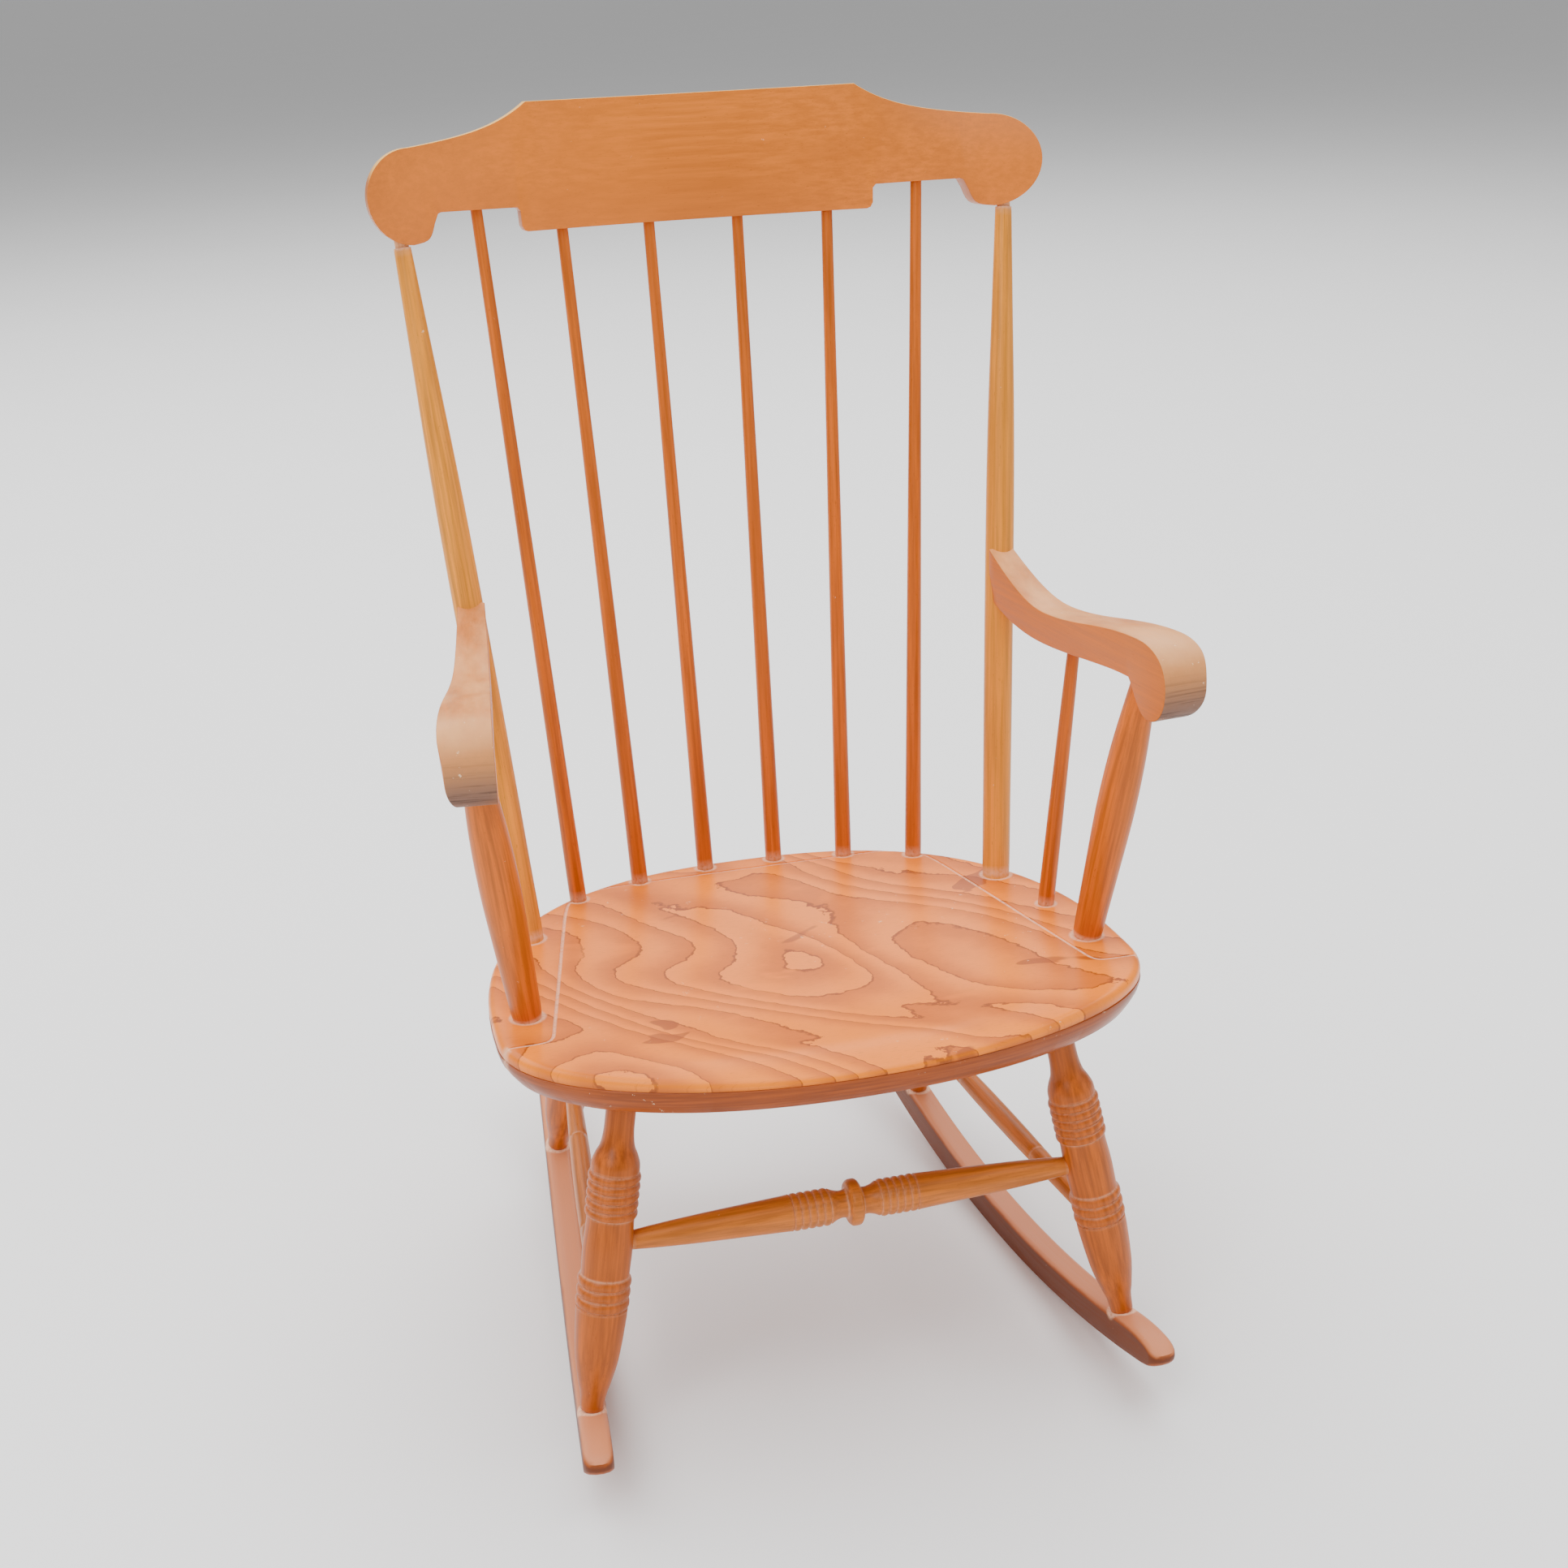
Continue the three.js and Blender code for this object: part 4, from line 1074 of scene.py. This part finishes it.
def groove_mark(place):
    """Marks the routed line's vertices; its dust lies where these are also below the surface."""
    half = groove_path()
    line = [*half, *[point * (-1, 1) for point in reversed(half[:-1])]]
    nearest = np.full(len(place), 1.0)
    for start, end in zip(line, line[1:]):
        along = end - start
        from_start = place[:, :2] - start
        reach = np.clip((from_start @ along) / (along @ along), 0, 1)
        nearest = np.minimum(nearest, np.linalg.norm(from_start - reach[:, None] * along, axis=1))
    return 1.0 * (nearest < sizes().groove_width * 0.6)


# ---------------------------------------------------------------- sawn boards


def slab(name, outline, axis, depth):
    """A board: its outline filled and extruded along an axis."""
    board = draw_outline(name, outline)
    bpy.ops.mesh.select_all(action="SELECT")
    bpy.ops.mesh.edge_face_add()
    bpy.ops.mesh.remove_doubles(threshold=1e-6)
    bpy.ops.mesh.select_all(action="SELECT")
    bpy.ops.mesh.extrude_region_move(TRANSFORM_OT_translate={"value": Vector(axis) * depth})
    return board


def slice_board(axis, low, high, count):
    """Cuts the board in edit mode into strips across an axis, so that it can bend."""
    for cut in range(1, count):
        place = Vector(axis) * (low + (high - low) * cut / count)
        bpy.ops.mesh.select_all(action="SELECT")
        bpy.ops.mesh.bisect(plane_co=place, plane_no=axis)
    bpy.ops.object.mode_set(mode="OBJECT")


def round_edges(piece, width, segments, angle):
    bevel = piece.modifiers.new("edges", "BEVEL")
    bevel.width = width
    bevel.segments = segments
    bevel.limit_method = "ANGLE"
    bevel.angle_limit = math.radians(angle)
    apply_modifiers(piece)


CREST_BOW = 0.480
CREST_THICK = 0.018
CREST_TALL = 0.104
CREST_BOTTOM = 0.576
CREST_SETBACK = 0.159
CREST_LEAN = math.radians(4)
CREST_FLAT = 0.141
CREST_STEP = 0.020
STEP_HALF = 0.1515
EAR_X = 0.245
EAR_Z = CREST_TALL - 0.069
EAR = 0.038
EAR_ROUND = 176
EAR_STEPS = 33
NOTCH_X = 0.226
CREST_STRIPS = 56


def crest_outline():
    """The crest rail seen from the front: flat top, swept shoulders, round ears and a stepped bottom."""
    half = [np.array((0, CREST_TALL))]
    half += curve((CREST_FLAT, CREST_TALL), (CREST_FLAT + 0.026, CREST_TALL - 0.019),
                  (EAR_X - 0.05, EAR_Z + EAR + 0.006), (EAR_X, EAR_Z + EAR), 18)
    for step in range(EAR_STEPS + 1):
        turn = math.radians(90 - EAR_ROUND * step / EAR_STEPS)
        half.append(np.array((EAR_X + EAR * math.cos(turn), EAR_Z + EAR * math.sin(turn))))
    corner = (NOTCH_X + 0.006, EAR_Z - EAR + 0.002)
    half += curve(half[-1], corner, corner, (NOTCH_X, CREST_STEP - 0.001), 8)[1:]
    notch = [(-0.0015, 0), (-0.004, 0.001)]
    half += [np.array((NOTCH_X + across, CREST_STEP + up)) for across, up in notch]
    step = [(0.004, CREST_STEP), (0.0015, CREST_STEP - 0.003), (0.001, 0.005), (-0.001, 0.0012),
            (-0.004, 0)]
    half += [np.array((STEP_HALF + across, height)) for across, height in step]
    whole = [(x, 0.0, z) for x, z in half]
    return whole + [(-x, 0.0, z) for x, z in reversed(half[1:])]


def bend_crest(crest):
    """Bends the flat board round the middle of its bow."""
    bent = vertices(crest)
    front = np.sqrt(CREST_BOW**2 - bent[:, 0] ** 2)
    back = np.sqrt((CREST_BOW + CREST_THICK) ** 2 - bent[:, 0] ** 2)
    bent[:, 1] = front + (back - front) * bent[:, 1] / CREST_THICK
    set_vertices(crest, bent)


def crest_matrix():
    """The crest rail's place on the back, leaning about the middle of its lower front edge."""
    bow = Vector((0, CREST_BOW, 0))
    lean = Matrix.Translation(bow) @ Matrix.Rotation(-CREST_LEAN, 4, "X") @ Matrix.Translation(-bow)
    return REST @ Matrix.Translation((0, CREST_SETBACK - CREST_BOW, CREST_BOTTOM)) @ lean


def make_crest():
    crest = slab("crest_rail_smooth", crest_outline(), (0, 1, 0), CREST_THICK)
    reach = EAR_X + EAR
    slice_board((1, 0, 0), -reach, reach, CREST_STRIPS)
    clean(crest, 1e-6)
    bend_crest(crest)
    round_edges(crest, sizes().edge_round, 3, 50)
    set_attribute(crest, "grain", vertices(crest)[:, [2, 1, 0]])
    settle(crest, crest_matrix())
    hand_over(crest, "crest_rail", "crest", 30)


# ---------------------------------------------------------------- arms

ARM_LENGTH = 0.299
ARM_REAR = 0.023
ARM_FRONT = 0.041
ARM_SPLAY = math.radians(7.1)
ARM_TOP = 0.291
ARM_TALL = 0.043
ARM_INSET = 0.0115
ARM_COPE = 0.005
ARM_STRIPS = 24
ARM_ROUND = 1.3
ARM_TRIM = 0.0006
TIP_TRIM = 0.003
TIP_STARTS = 0.95

# The arm's outline, measured down from its top: its dip, crown, nose and underside.
ARM_DIP = 0.0325
ARM_CROWN = 0.0155
NOSE_MIDDLE = 0.047
NOSE_BOTTOM = 0.078
NOSE_THROAT = 0.0505
ARM_UNDERSIDE = 0.0605

# The curl of the nose's lower outer corner: the depth below the top where it starts, how much deeper
# it is full, how far back from the tip it reaches and how far in it goes.
CURL_STARTS = 0.050
CURL_FADE = 0.028
CURL_BACK = 0.055
CURL_IN = 0.011


def arm_outline():
    """Side view of an arm, rear end at zero and the nose forward along -y."""
    top, nose = ARM_TOP, ARM_LENGTH
    dip, crown, under = top - ARM_DIP, top - ARM_CROWN, top - ARM_UNDERSIDE
    middle, bottom, throat = top - NOSE_MIDDLE, top - NOSE_BOTTOM, top - NOSE_THROAT
    run = joined_curves(
        (0, top),
        ((0.04, top - 0.021), (0.066, dip), (0.098, dip), 12),
        ((0.15, dip), (nose - 0.099, crown), (nose - 0.042, crown), 16),
        ((nose - 0.014, crown), (nose, top - 0.029), (nose, middle), 12),
        ((nose, top - 0.066), (nose - 0.012, bottom), (nose - 0.026, bottom), 12),
        ((nose - 0.042, bottom), (nose - 0.048, top - 0.058), (nose - 0.057, throat), 12),
        ((nose - 0.099, top - 0.05), (0.14, under), (0.09, under), 12),
        ((0.05, under), (0.02, top - 0.052), (0, top - ARM_TALL), 10),
    )
    return [(0.0, -forward, height) for forward, height in run]


def arm_width(forward):
    """The arm's width at a distance from its rear end: slim at the post and broad at the nose."""
    start = np.array((0, ARM_REAR))
    bend = np.array((0.6, ARM_FRONT - 0.004))
    end = np.array((0.926, ARM_FRONT))
    steps = np.linspace(0, 1, 40)[:, None]
    line = (1 - steps) ** 2 * start + 2 * (1 - steps) * steps * bend + steps**2 * end
    share = forward / ARM_LENGTH
    wide = np.interp(share, line[:, 0], line[:, 1])
    tip = np.clip((share - TIP_STARTS) / (1 - TIP_STARTS), 0, 1)
    return wide - ARM_TRIM - TIP_TRIM * tip**2


def arm_matrix(word, side):
    """The arm's place, from where the back post's axis passes its rear end."""
    back = REST.inverted()
    low, high = (back @ point for point in axis_of(f"back_post_{word}"))
    height = ARM_TOP - ARM_TALL / 2
    joint = low.lerp(high, (height - low.z) / (high.z - low.z))
    corner = Matrix.Translation((joint.x - side * ARM_INSET, joint.y - ARM_COPE, 0))
    return REST @ corner @ Matrix.Rotation(side * ARM_SPLAY, 4, "Z")


def shape_arm():
    """The right arm, standing at its rear end: sawn from the side, then narrowed from above."""
    arm = slab("arm_right_smooth", arm_outline(), (1, 0, 0), ARM_FRONT)
    slice_board((0, 1, 0), -ARM_LENGTH, 0, ARM_STRIPS)
    clean(arm, 1e-6)
    shape = vertices(arm)
    share = shape[:, 0] / ARM_FRONT
    curl = np.clip((ARM_TOP - CURL_STARTS - shape[:, 2]) / CURL_FADE, 0, 1)
    curl = curl * (shape[:, 1] < CURL_BACK - ARM_LENGTH)
    shape[:, 0] = share * (arm_width(-shape[:, 1]) - CURL_IN * curl**2)
    set_vertices(arm, shape)
    round_edges(arm, sizes().edge_round * ARM_ROUND, 4, 45)
    return arm


def make_arms():
    right = shape_arm()
    pieces = (mirrored(right, "arm_left_smooth"), right)
    for seed, (arm, (word, side)) in enumerate(zip(pieces, SIDES)):
        place = vertices(arm)
        set_attribute(arm, "grain", np.stack([place[:, 0] + seed, place[:, 2], -place[:, 1]], 1))
        settle(arm, arm_matrix(word, side))
        hand_over(arm, f"arm_{word}", "arm", 32)


# ---------------------------------------------------------------- rockers

ROCKER_TALL = 0.027
ROCKER_THICK = 0.024
ROCKER_TOE = math.radians(6)
ROCKER_FRONT = 0.262
ROCKER_REAR = 0.444
ROCKER_TIP = math.radians(3)
ROCKER_CORE = 0.003

# The front tip is rounded in plan over this reach and by this much at its sides.
TONGUE_REACH = 0.016
TONGUE_ROUND = 0.009

# The share of the edge rounding that is kept along the floor, and how far up it is full.
FLOOR_ROUNDING = 0.25
FULL_ROUNDING_UP = 0.7 * ROCKER_TALL


def on_arc(radius, turn):
    """A point at a radius from the roll centre, turned back from straight below it."""
    return np.array((radius * math.sin(turn), -radius * math.cos(turn)))


def rocker_outline():
    """Side view of a rocker round its roll centre, with the front towards -y and both ends rounded."""
    low, high, tip = ROCKER_FLAT, ROCKER_RADIUS - ROCKER_TALL, ROCKER_TIP
    front = math.asin(ROCKER_FRONT / ROCKER_RADIUS) + SEAT_LEAN
    rear = math.asin(ROCKER_REAR / ROCKER_RADIUS) - SEAT_LEAN
    reach = front + rear
    tail = on_arc(high + 0.007, rear - tip * 0.05)
    nose = on_arc(high + 0.0155, -front + tip * 0.05)
    run = [on_arc(low, -front + tip * 0.25 + (reach - tip * 0.45) * step / 60) for step in range(61)]
    run += curve(on_arc(low, rear - tip * 0.2), on_arc(low, rear + tip * 0.08),
                 on_arc(low - 0.012, rear + tip * 0.12), tail, 8)[1:]
    run += curve(tail, on_arc(high, rear - tip * 0.15), on_arc(high, rear - tip * 0.3),
                 on_arc(high, rear - tip * 0.6), 6)
    run += [on_arc(high, rear - tip * 0.6 - (reach - tip * 1.9) * step / 50) for step in range(51)]
    run += curve(on_arc(high, -front + tip * 1.3), on_arc(high, -front + tip * 0.75),
                 on_arc(high + 0.004, -front + tip * 0.2), nose, 10)[1:]
    run += curve(nose, on_arc(high + 0.022, -front + tip * 0.02),
                 on_arc(low - 0.001, -front + tip * 0.1), on_arc(low, -front + tip * 0.25), 6)
    return [(0.0, forward, height) for forward, height in run]


def rocker_layers():
    """Slices across a rocker's thickness: how far each stands from the middle, and its inset."""
    half = ROCKER_THICK / 2
    rounding = sizes().rocker_round
    turns = [math.radians(22.5 * step) for step in range(5)]
    side = [(half - rounding * (1 - math.cos(turn)), rounding * (1 - math.sin(turn))) for turn in turns]
    left = [(-across, inset) for across, inset in side]
    return [*left, (-ROCKER_CORE, 0.0), (ROCKER_CORE, 0.0), *reversed(side)]


def shape_rocker(flat, outline, layer):
    """Sets each slice's outline in, more at the top and the ends than along the floor."""
    loop = np.array([(forward, height) for _, forward, height in outline])
    along = np.roll(loop, -1, 0) - np.roll(loop, 1, 0)
    along /= np.linalg.norm(along, axis=1)[:, None]
    inward = np.stack([-along[:, 1], along[:, 0]], 1)
    layers = rocker_layers()
    half = ROCKER_THICK / 2
    shape = np.zeros_like(flat)
    for i, point in enumerate(flat):
        nearest = int(np.argmin(np.sum((loop - point[1:]) ** 2, axis=1)))
        across, inset = layers[layer[i]]
        depth = ROCKER_FLAT - np.hypot(*loop[nearest])
        up = min(1.0, max(0.0, depth / FULL_ROUNDING_UP))
        weight = FLOOR_ROUNDING + (1 - FLOOR_ROUNDING) * up
        end = max(0.0, 1 - (loop[nearest][0] - loop[:, 0].min()) / TONGUE_REACH)
        tongue = end * TONGUE_ROUND * (1 - math.sqrt(max(0.0, 1 - (0.97 * across / half) ** 2)))
        shape[i] = (across, *(loop[nearest] + inward[nearest] * inset * weight + (tongue, 0)))
    return shape


def build_rocker():
    """One rocker, round its roll centre at the origin, built up slice by slice."""
    outline = rocker_outline()
    count = len(rocker_layers())
    step = ROCKER_THICK / count
    rocker = slab("rocker", outline, (1, 0, 0), step)
    for _ in range(count - 2):
        bpy.ops.mesh.extrude_region_move(TRANSFORM_OT_translate={"value": (step, 0, 0)})
    bpy.ops.object.mode_set(mode="OBJECT")
    flat = vertices(rocker)
    layer = np.round(flat[:, 0] / step).astype(int)
    set_vertices(rocker, shape_rocker(flat, outline, layer))
    clean(rocker, 1e-6)
    return rocker


def make_rockers():
    rocker = build_rocker()
    for seed, (piece, (word, side)) in enumerate(zip((rocker, copy_of(rocker, "rocker")), SIDES)):
        node = f"rocker_{word}"
        piece.name = f"{node}_smooth"
        place = vertices(piece)
        along = np.arctan2(place[:, 1], -place[:, 2]) * ROCKER_RADIUS
        depth = ROCKER_RADIUS - np.hypot(place[:, 1], place[:, 2])
        set_attribute(piece, "grain", np.stack([place[:, 0] + seed, depth, along], 1))
        mount = next(m for m in frame["record"]["mounts"] if m["name"].startswith(node))
        middle = Vector(mount["pos_m"])
        turn = Matrix.Rotation(side * ROCKER_TOE, 4, "Z")
        settle(piece, Matrix.Translation((middle.x, middle.y, ROCKER_FLAT)) @ turn)
        hand_over(piece, node, "rocker", 35)


def rocker_joints():
    """Where the legs stand on the rockers, with their foot radii."""
    feet = []
    for leg in (*pair_of("front_leg"), *pair_of("rear_leg")):
        low, high = axis_of(leg)
        feet.append(low + (high - low).normalized() * ROCKER_TENON * MM)
    return feet, [LEG_FLARE * MM] * len(feet)


# ---------------------------------------------------------------- fasteners


PLUG_LENGTH = 5.0
PLUG_RADIUS = 4.2
SCREW_RADIUS = 2.0
SCREW_HEAD_RADIUS = 3.6


def make_plugs():
    section = [(0, 3.9), (0.3, PLUG_RADIUS), (4.6, PLUG_RADIUS), (PLUG_LENGTH, 3.8)]
    plug = turn_piece("arm_plug", section)
    for seed, (piece, (word, _)) in enumerate(zip((plug, copy_of(plug, "arm_plug")), SIDES)):
        node = f"arm_plug_{word}"
        piece.name = f"{node}_smooth"
        low, high = axis_of_plug(word)
        set_attribute(piece, "grain", vertices(piece) + seed)
        turn = (high - low).to_track_quat("Z", "Y").to_matrix().to_4x4()
        settle(piece, Matrix.Translation(low) @ turn)
        hand_over(piece, node, "post")


def make_screws():
    nodes = pair_of("arm_screw")
    end = node_length(nodes[0])
    head = [(0, SCREW_HEAD_RADIUS), (1.2, SCREW_HEAD_RADIUS), (3.2, SCREW_RADIUS)]
    screw = turn_piece("arm_screw", [*head, (end - 4, SCREW_RADIUS), (end, 0.6)])
    place_turned(screw, nodes, "steel", (40, 41))


def axis_of_plug(word):
    """The plug is shorter than it is wide, so its axis is taken from the screw before it."""
    low, high = axis_of(f"arm_screw_{word}")
    head, point = (low, high) if low.y > high.y else (high, low)
    inward = (point - head).normalized()
    corner_low, corner_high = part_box(f"arm_plug_{word}")
    middle = (corner_low + corner_high) / 2
    half = inward * PLUG_LENGTH / 2 * MM
    return middle - half, middle + half


# ---------------------------------------------------------------- stage


WORLD_STRENGTH = 0.42
FLOOR_DROP = 0.0005
LIGHT_AIM = Vector((0, 0, 0.45))

# Each light's name, place, power in watts and size in metres.
LIGHTS = (
    ("sky", (-0.3, 1.0, 4.2), 700, 9.0),
    ("key", (-2.2, -2.6, 2.6), 45, 1.8),
    ("fill", (2.8, -1.6, 1.4), 16, 2.2),
)

# Where the viewer stands, which way it looks and which way is its right.
VIEW_PLACE = Vector((-0.4364, -1.7830, 1.1928))
VIEW_FORWARD = Vector((0.2288, 0.8985, -0.3745))
VIEW_RIGHT = Vector((0.9657, -0.2580, -0.0290))


def floor_paint():
    nodes = Nodes("pale_floor")
    tone = nodes.noise(nodes.place(), (3, 3, 3), 2.0)
    tint = nodes.mix(tone, (0.93, 0.93, 0.93), (0.95, 0.95, 0.95))
    return nodes.finish(tint, 0.9, tone, 0.0, 0.02)


def make_floor():
    deselect()
    bpy.ops.mesh.primitive_plane_add(size=sizes().floor_size, location=(0, 0, -FLOOR_DROP))
    floor = bpy.context.object
    floor.name = "floor"
    floor.data.materials.append(floor_paint())


def make_world():
    world = bpy.context.scene.world or bpy.data.worlds.new("studio")
    bpy.context.scene.world = world
    world.use_nodes = True
    background = world.node_tree.nodes["Background"]
    background.inputs["Color"].default_value = (1.0, 1.0, 1.0, 1)
    background.inputs["Strength"].default_value = WORLD_STRENGTH


def add_light(name, place, power, size):
    """A square light aimed at the chair, which the camera doesn't see."""
    bpy.ops.object.light_add(type="AREA", location=place)
    light = bpy.context.object
    light.name = name
    light.data.energy = power
    light.data.size = size
    light.visible_camera = False
    aim = LIGHT_AIM - Vector(place)
    light.rotation_euler = aim.to_track_quat("-Z", "Y").to_euler()


def make_camera():
    """The viewer stands before the chair's left front corner and looks down a little."""
    data = bpy.data.cameras.new("viewer")
    camera = bpy.data.objects.new("viewer", data)
    bpy.context.collection.objects.link(camera)
    data.lens = sizes().lens
    data.sensor_width = 36
    data.clip_end = 50
    forward = VIEW_FORWARD.normalized()
    up = VIEW_RIGHT.normalized().cross(forward).normalized()
    right = forward.cross(up)
    axes = Matrix((right, up, -forward)).transposed().to_4x4()
    camera.matrix_world = Matrix.Translation(VIEW_PLACE) @ axes
    bpy.context.scene.camera = camera


# ---------------------------------------------------------------- operators


class OBJECT_OT_chair_seat(bpy.types.Operator):
    """Shape the dished seat and rout its line"""

    bl_idname = "rocking_chair.seat"
    bl_label = "Seat"
    bl_options = {"REGISTER", "UNDO"}

    def execute(self, context):
        make_seat()
        return {"FINISHED"}


class OBJECT_OT_chair_crest(bpy.types.Operator):
    """Saw and bend the crest rail"""

    bl_idname = "rocking_chair.crest"
    bl_label = "Crest Rail"
    bl_options = {"REGISTER", "UNDO"}

    def execute(self, context):
        make_crest()
        return {"FINISHED"}


class OBJECT_OT_chair_back(bpy.types.Operator):
    """Turn the back posts and spindles"""

    bl_idname = "rocking_chair.back"
    bl_label = "Back Posts and Spindles"
    bl_options = {"REGISTER", "UNDO"}

    def execute(self, context):
        make_back_posts()
        make_back_spindles()
        return {"FINISHED"}


class OBJECT_OT_chair_arms(bpy.types.Operator):
    """Shape the arms, with their posts, spindles, screws and plugs"""

    bl_idname = "rocking_chair.arms"
    bl_label = "Arms"
    bl_options = {"REGISTER", "UNDO"}

    def execute(self, context):
        make_arms()
        make_arm_posts()
        make_arm_spindles()
        make_plugs()
        make_screws()
        return {"FINISHED"}


class OBJECT_OT_chair_legs(bpy.types.Operator):
    """Turn the four legs"""

    bl_idname = "rocking_chair.legs"
    bl_label = "Legs"
    bl_options = {"REGISTER", "UNDO"}

    def execute(self, context):
        make_legs()
        return {"FINISHED"}


class OBJECT_OT_chair_stretchers(bpy.types.Operator):
    """Turn the stretchers"""

    bl_idname = "rocking_chair.stretchers"
    bl_label = "Stretchers"
    bl_options = {"REGISTER", "UNDO"}

    def execute(self, context):
        make_front_stretcher()
        make_plain_stretchers()
        return {"FINISHED"}


class OBJECT_OT_chair_rockers(bpy.types.Operator):
    """Saw the rockers and round their tops"""

    bl_idname = "rocking_chair.rockers"
    bl_label = "Rockers"
    bl_options = {"REGISTER", "UNDO"}

    def execute(self, context):
        make_rockers()
        return {"FINISHED"}


class OBJECT_OT_chair_stage(bpy.types.Operator):
    """Add the floor, the lights and the camera"""

    bl_idname = "rocking_chair.stage"
    bl_label = "Stage"
    bl_options = {"REGISTER", "UNDO"}

    def execute(self, context):
        make_floor()
        make_world()
        for light in LIGHTS:
            add_light(*light)
        make_camera()
        return {"FINISHED"}


STEPS = (
    OBJECT_OT_chair_seat,
    OBJECT_OT_chair_crest,
    OBJECT_OT_chair_back,
    OBJECT_OT_chair_arms,
    OBJECT_OT_chair_legs,
    OBJECT_OT_chair_stretchers,
    OBJECT_OT_chair_rockers,
    OBJECT_OT_chair_stage,
)


class VIEW3D_PT_rocking_chair(bpy.types.Panel):
    """Lists the chair's building steps and its settings"""

    bl_label = "Rocking Chair"
    bl_idname = "VIEW3D_PT_rocking_chair"
    bl_space_type = "VIEW_3D"
    bl_region_type = "UI"
    bl_category = "Rocking Chair"

    def draw(self, context):
        layout = self.layout
        for step in STEPS:
            layout.operator(step.bl_idname)
        for group in (context.scene.rocking_chair_wood, context.scene.rocking_chair_sizes):
            for key in group.bl_rna.properties.keys():
                if key not in ("rna_type", "name"):
                    layout.prop(group, key)


CLASSES = (WoodSettings, SizeSettings, *STEPS, VIEW3D_PT_rocking_chair)


def register():
    for item in CLASSES:
        bpy.utils.register_class(item)
    bpy.types.Scene.rocking_chair_wood = bpy.props.PointerProperty(type=WoodSettings)
    bpy.types.Scene.rocking_chair_sizes = bpy.props.PointerProperty(type=SizeSettings)


def unregister():
    del bpy.types.Scene.rocking_chair_wood
    del bpy.types.Scene.rocking_chair_sizes
    for item in reversed(CLASSES):
        bpy.utils.unregister_class(item)


def main():
    register()
    chair = bpy.ops.rocking_chair
    chair.seat()
    chair.crest()
    chair.back()
    chair.arms()
    chair.legs()
    chair.stretchers()
    chair.rockers()
    chair.stage()


if __name__ == "__main__":
    main()
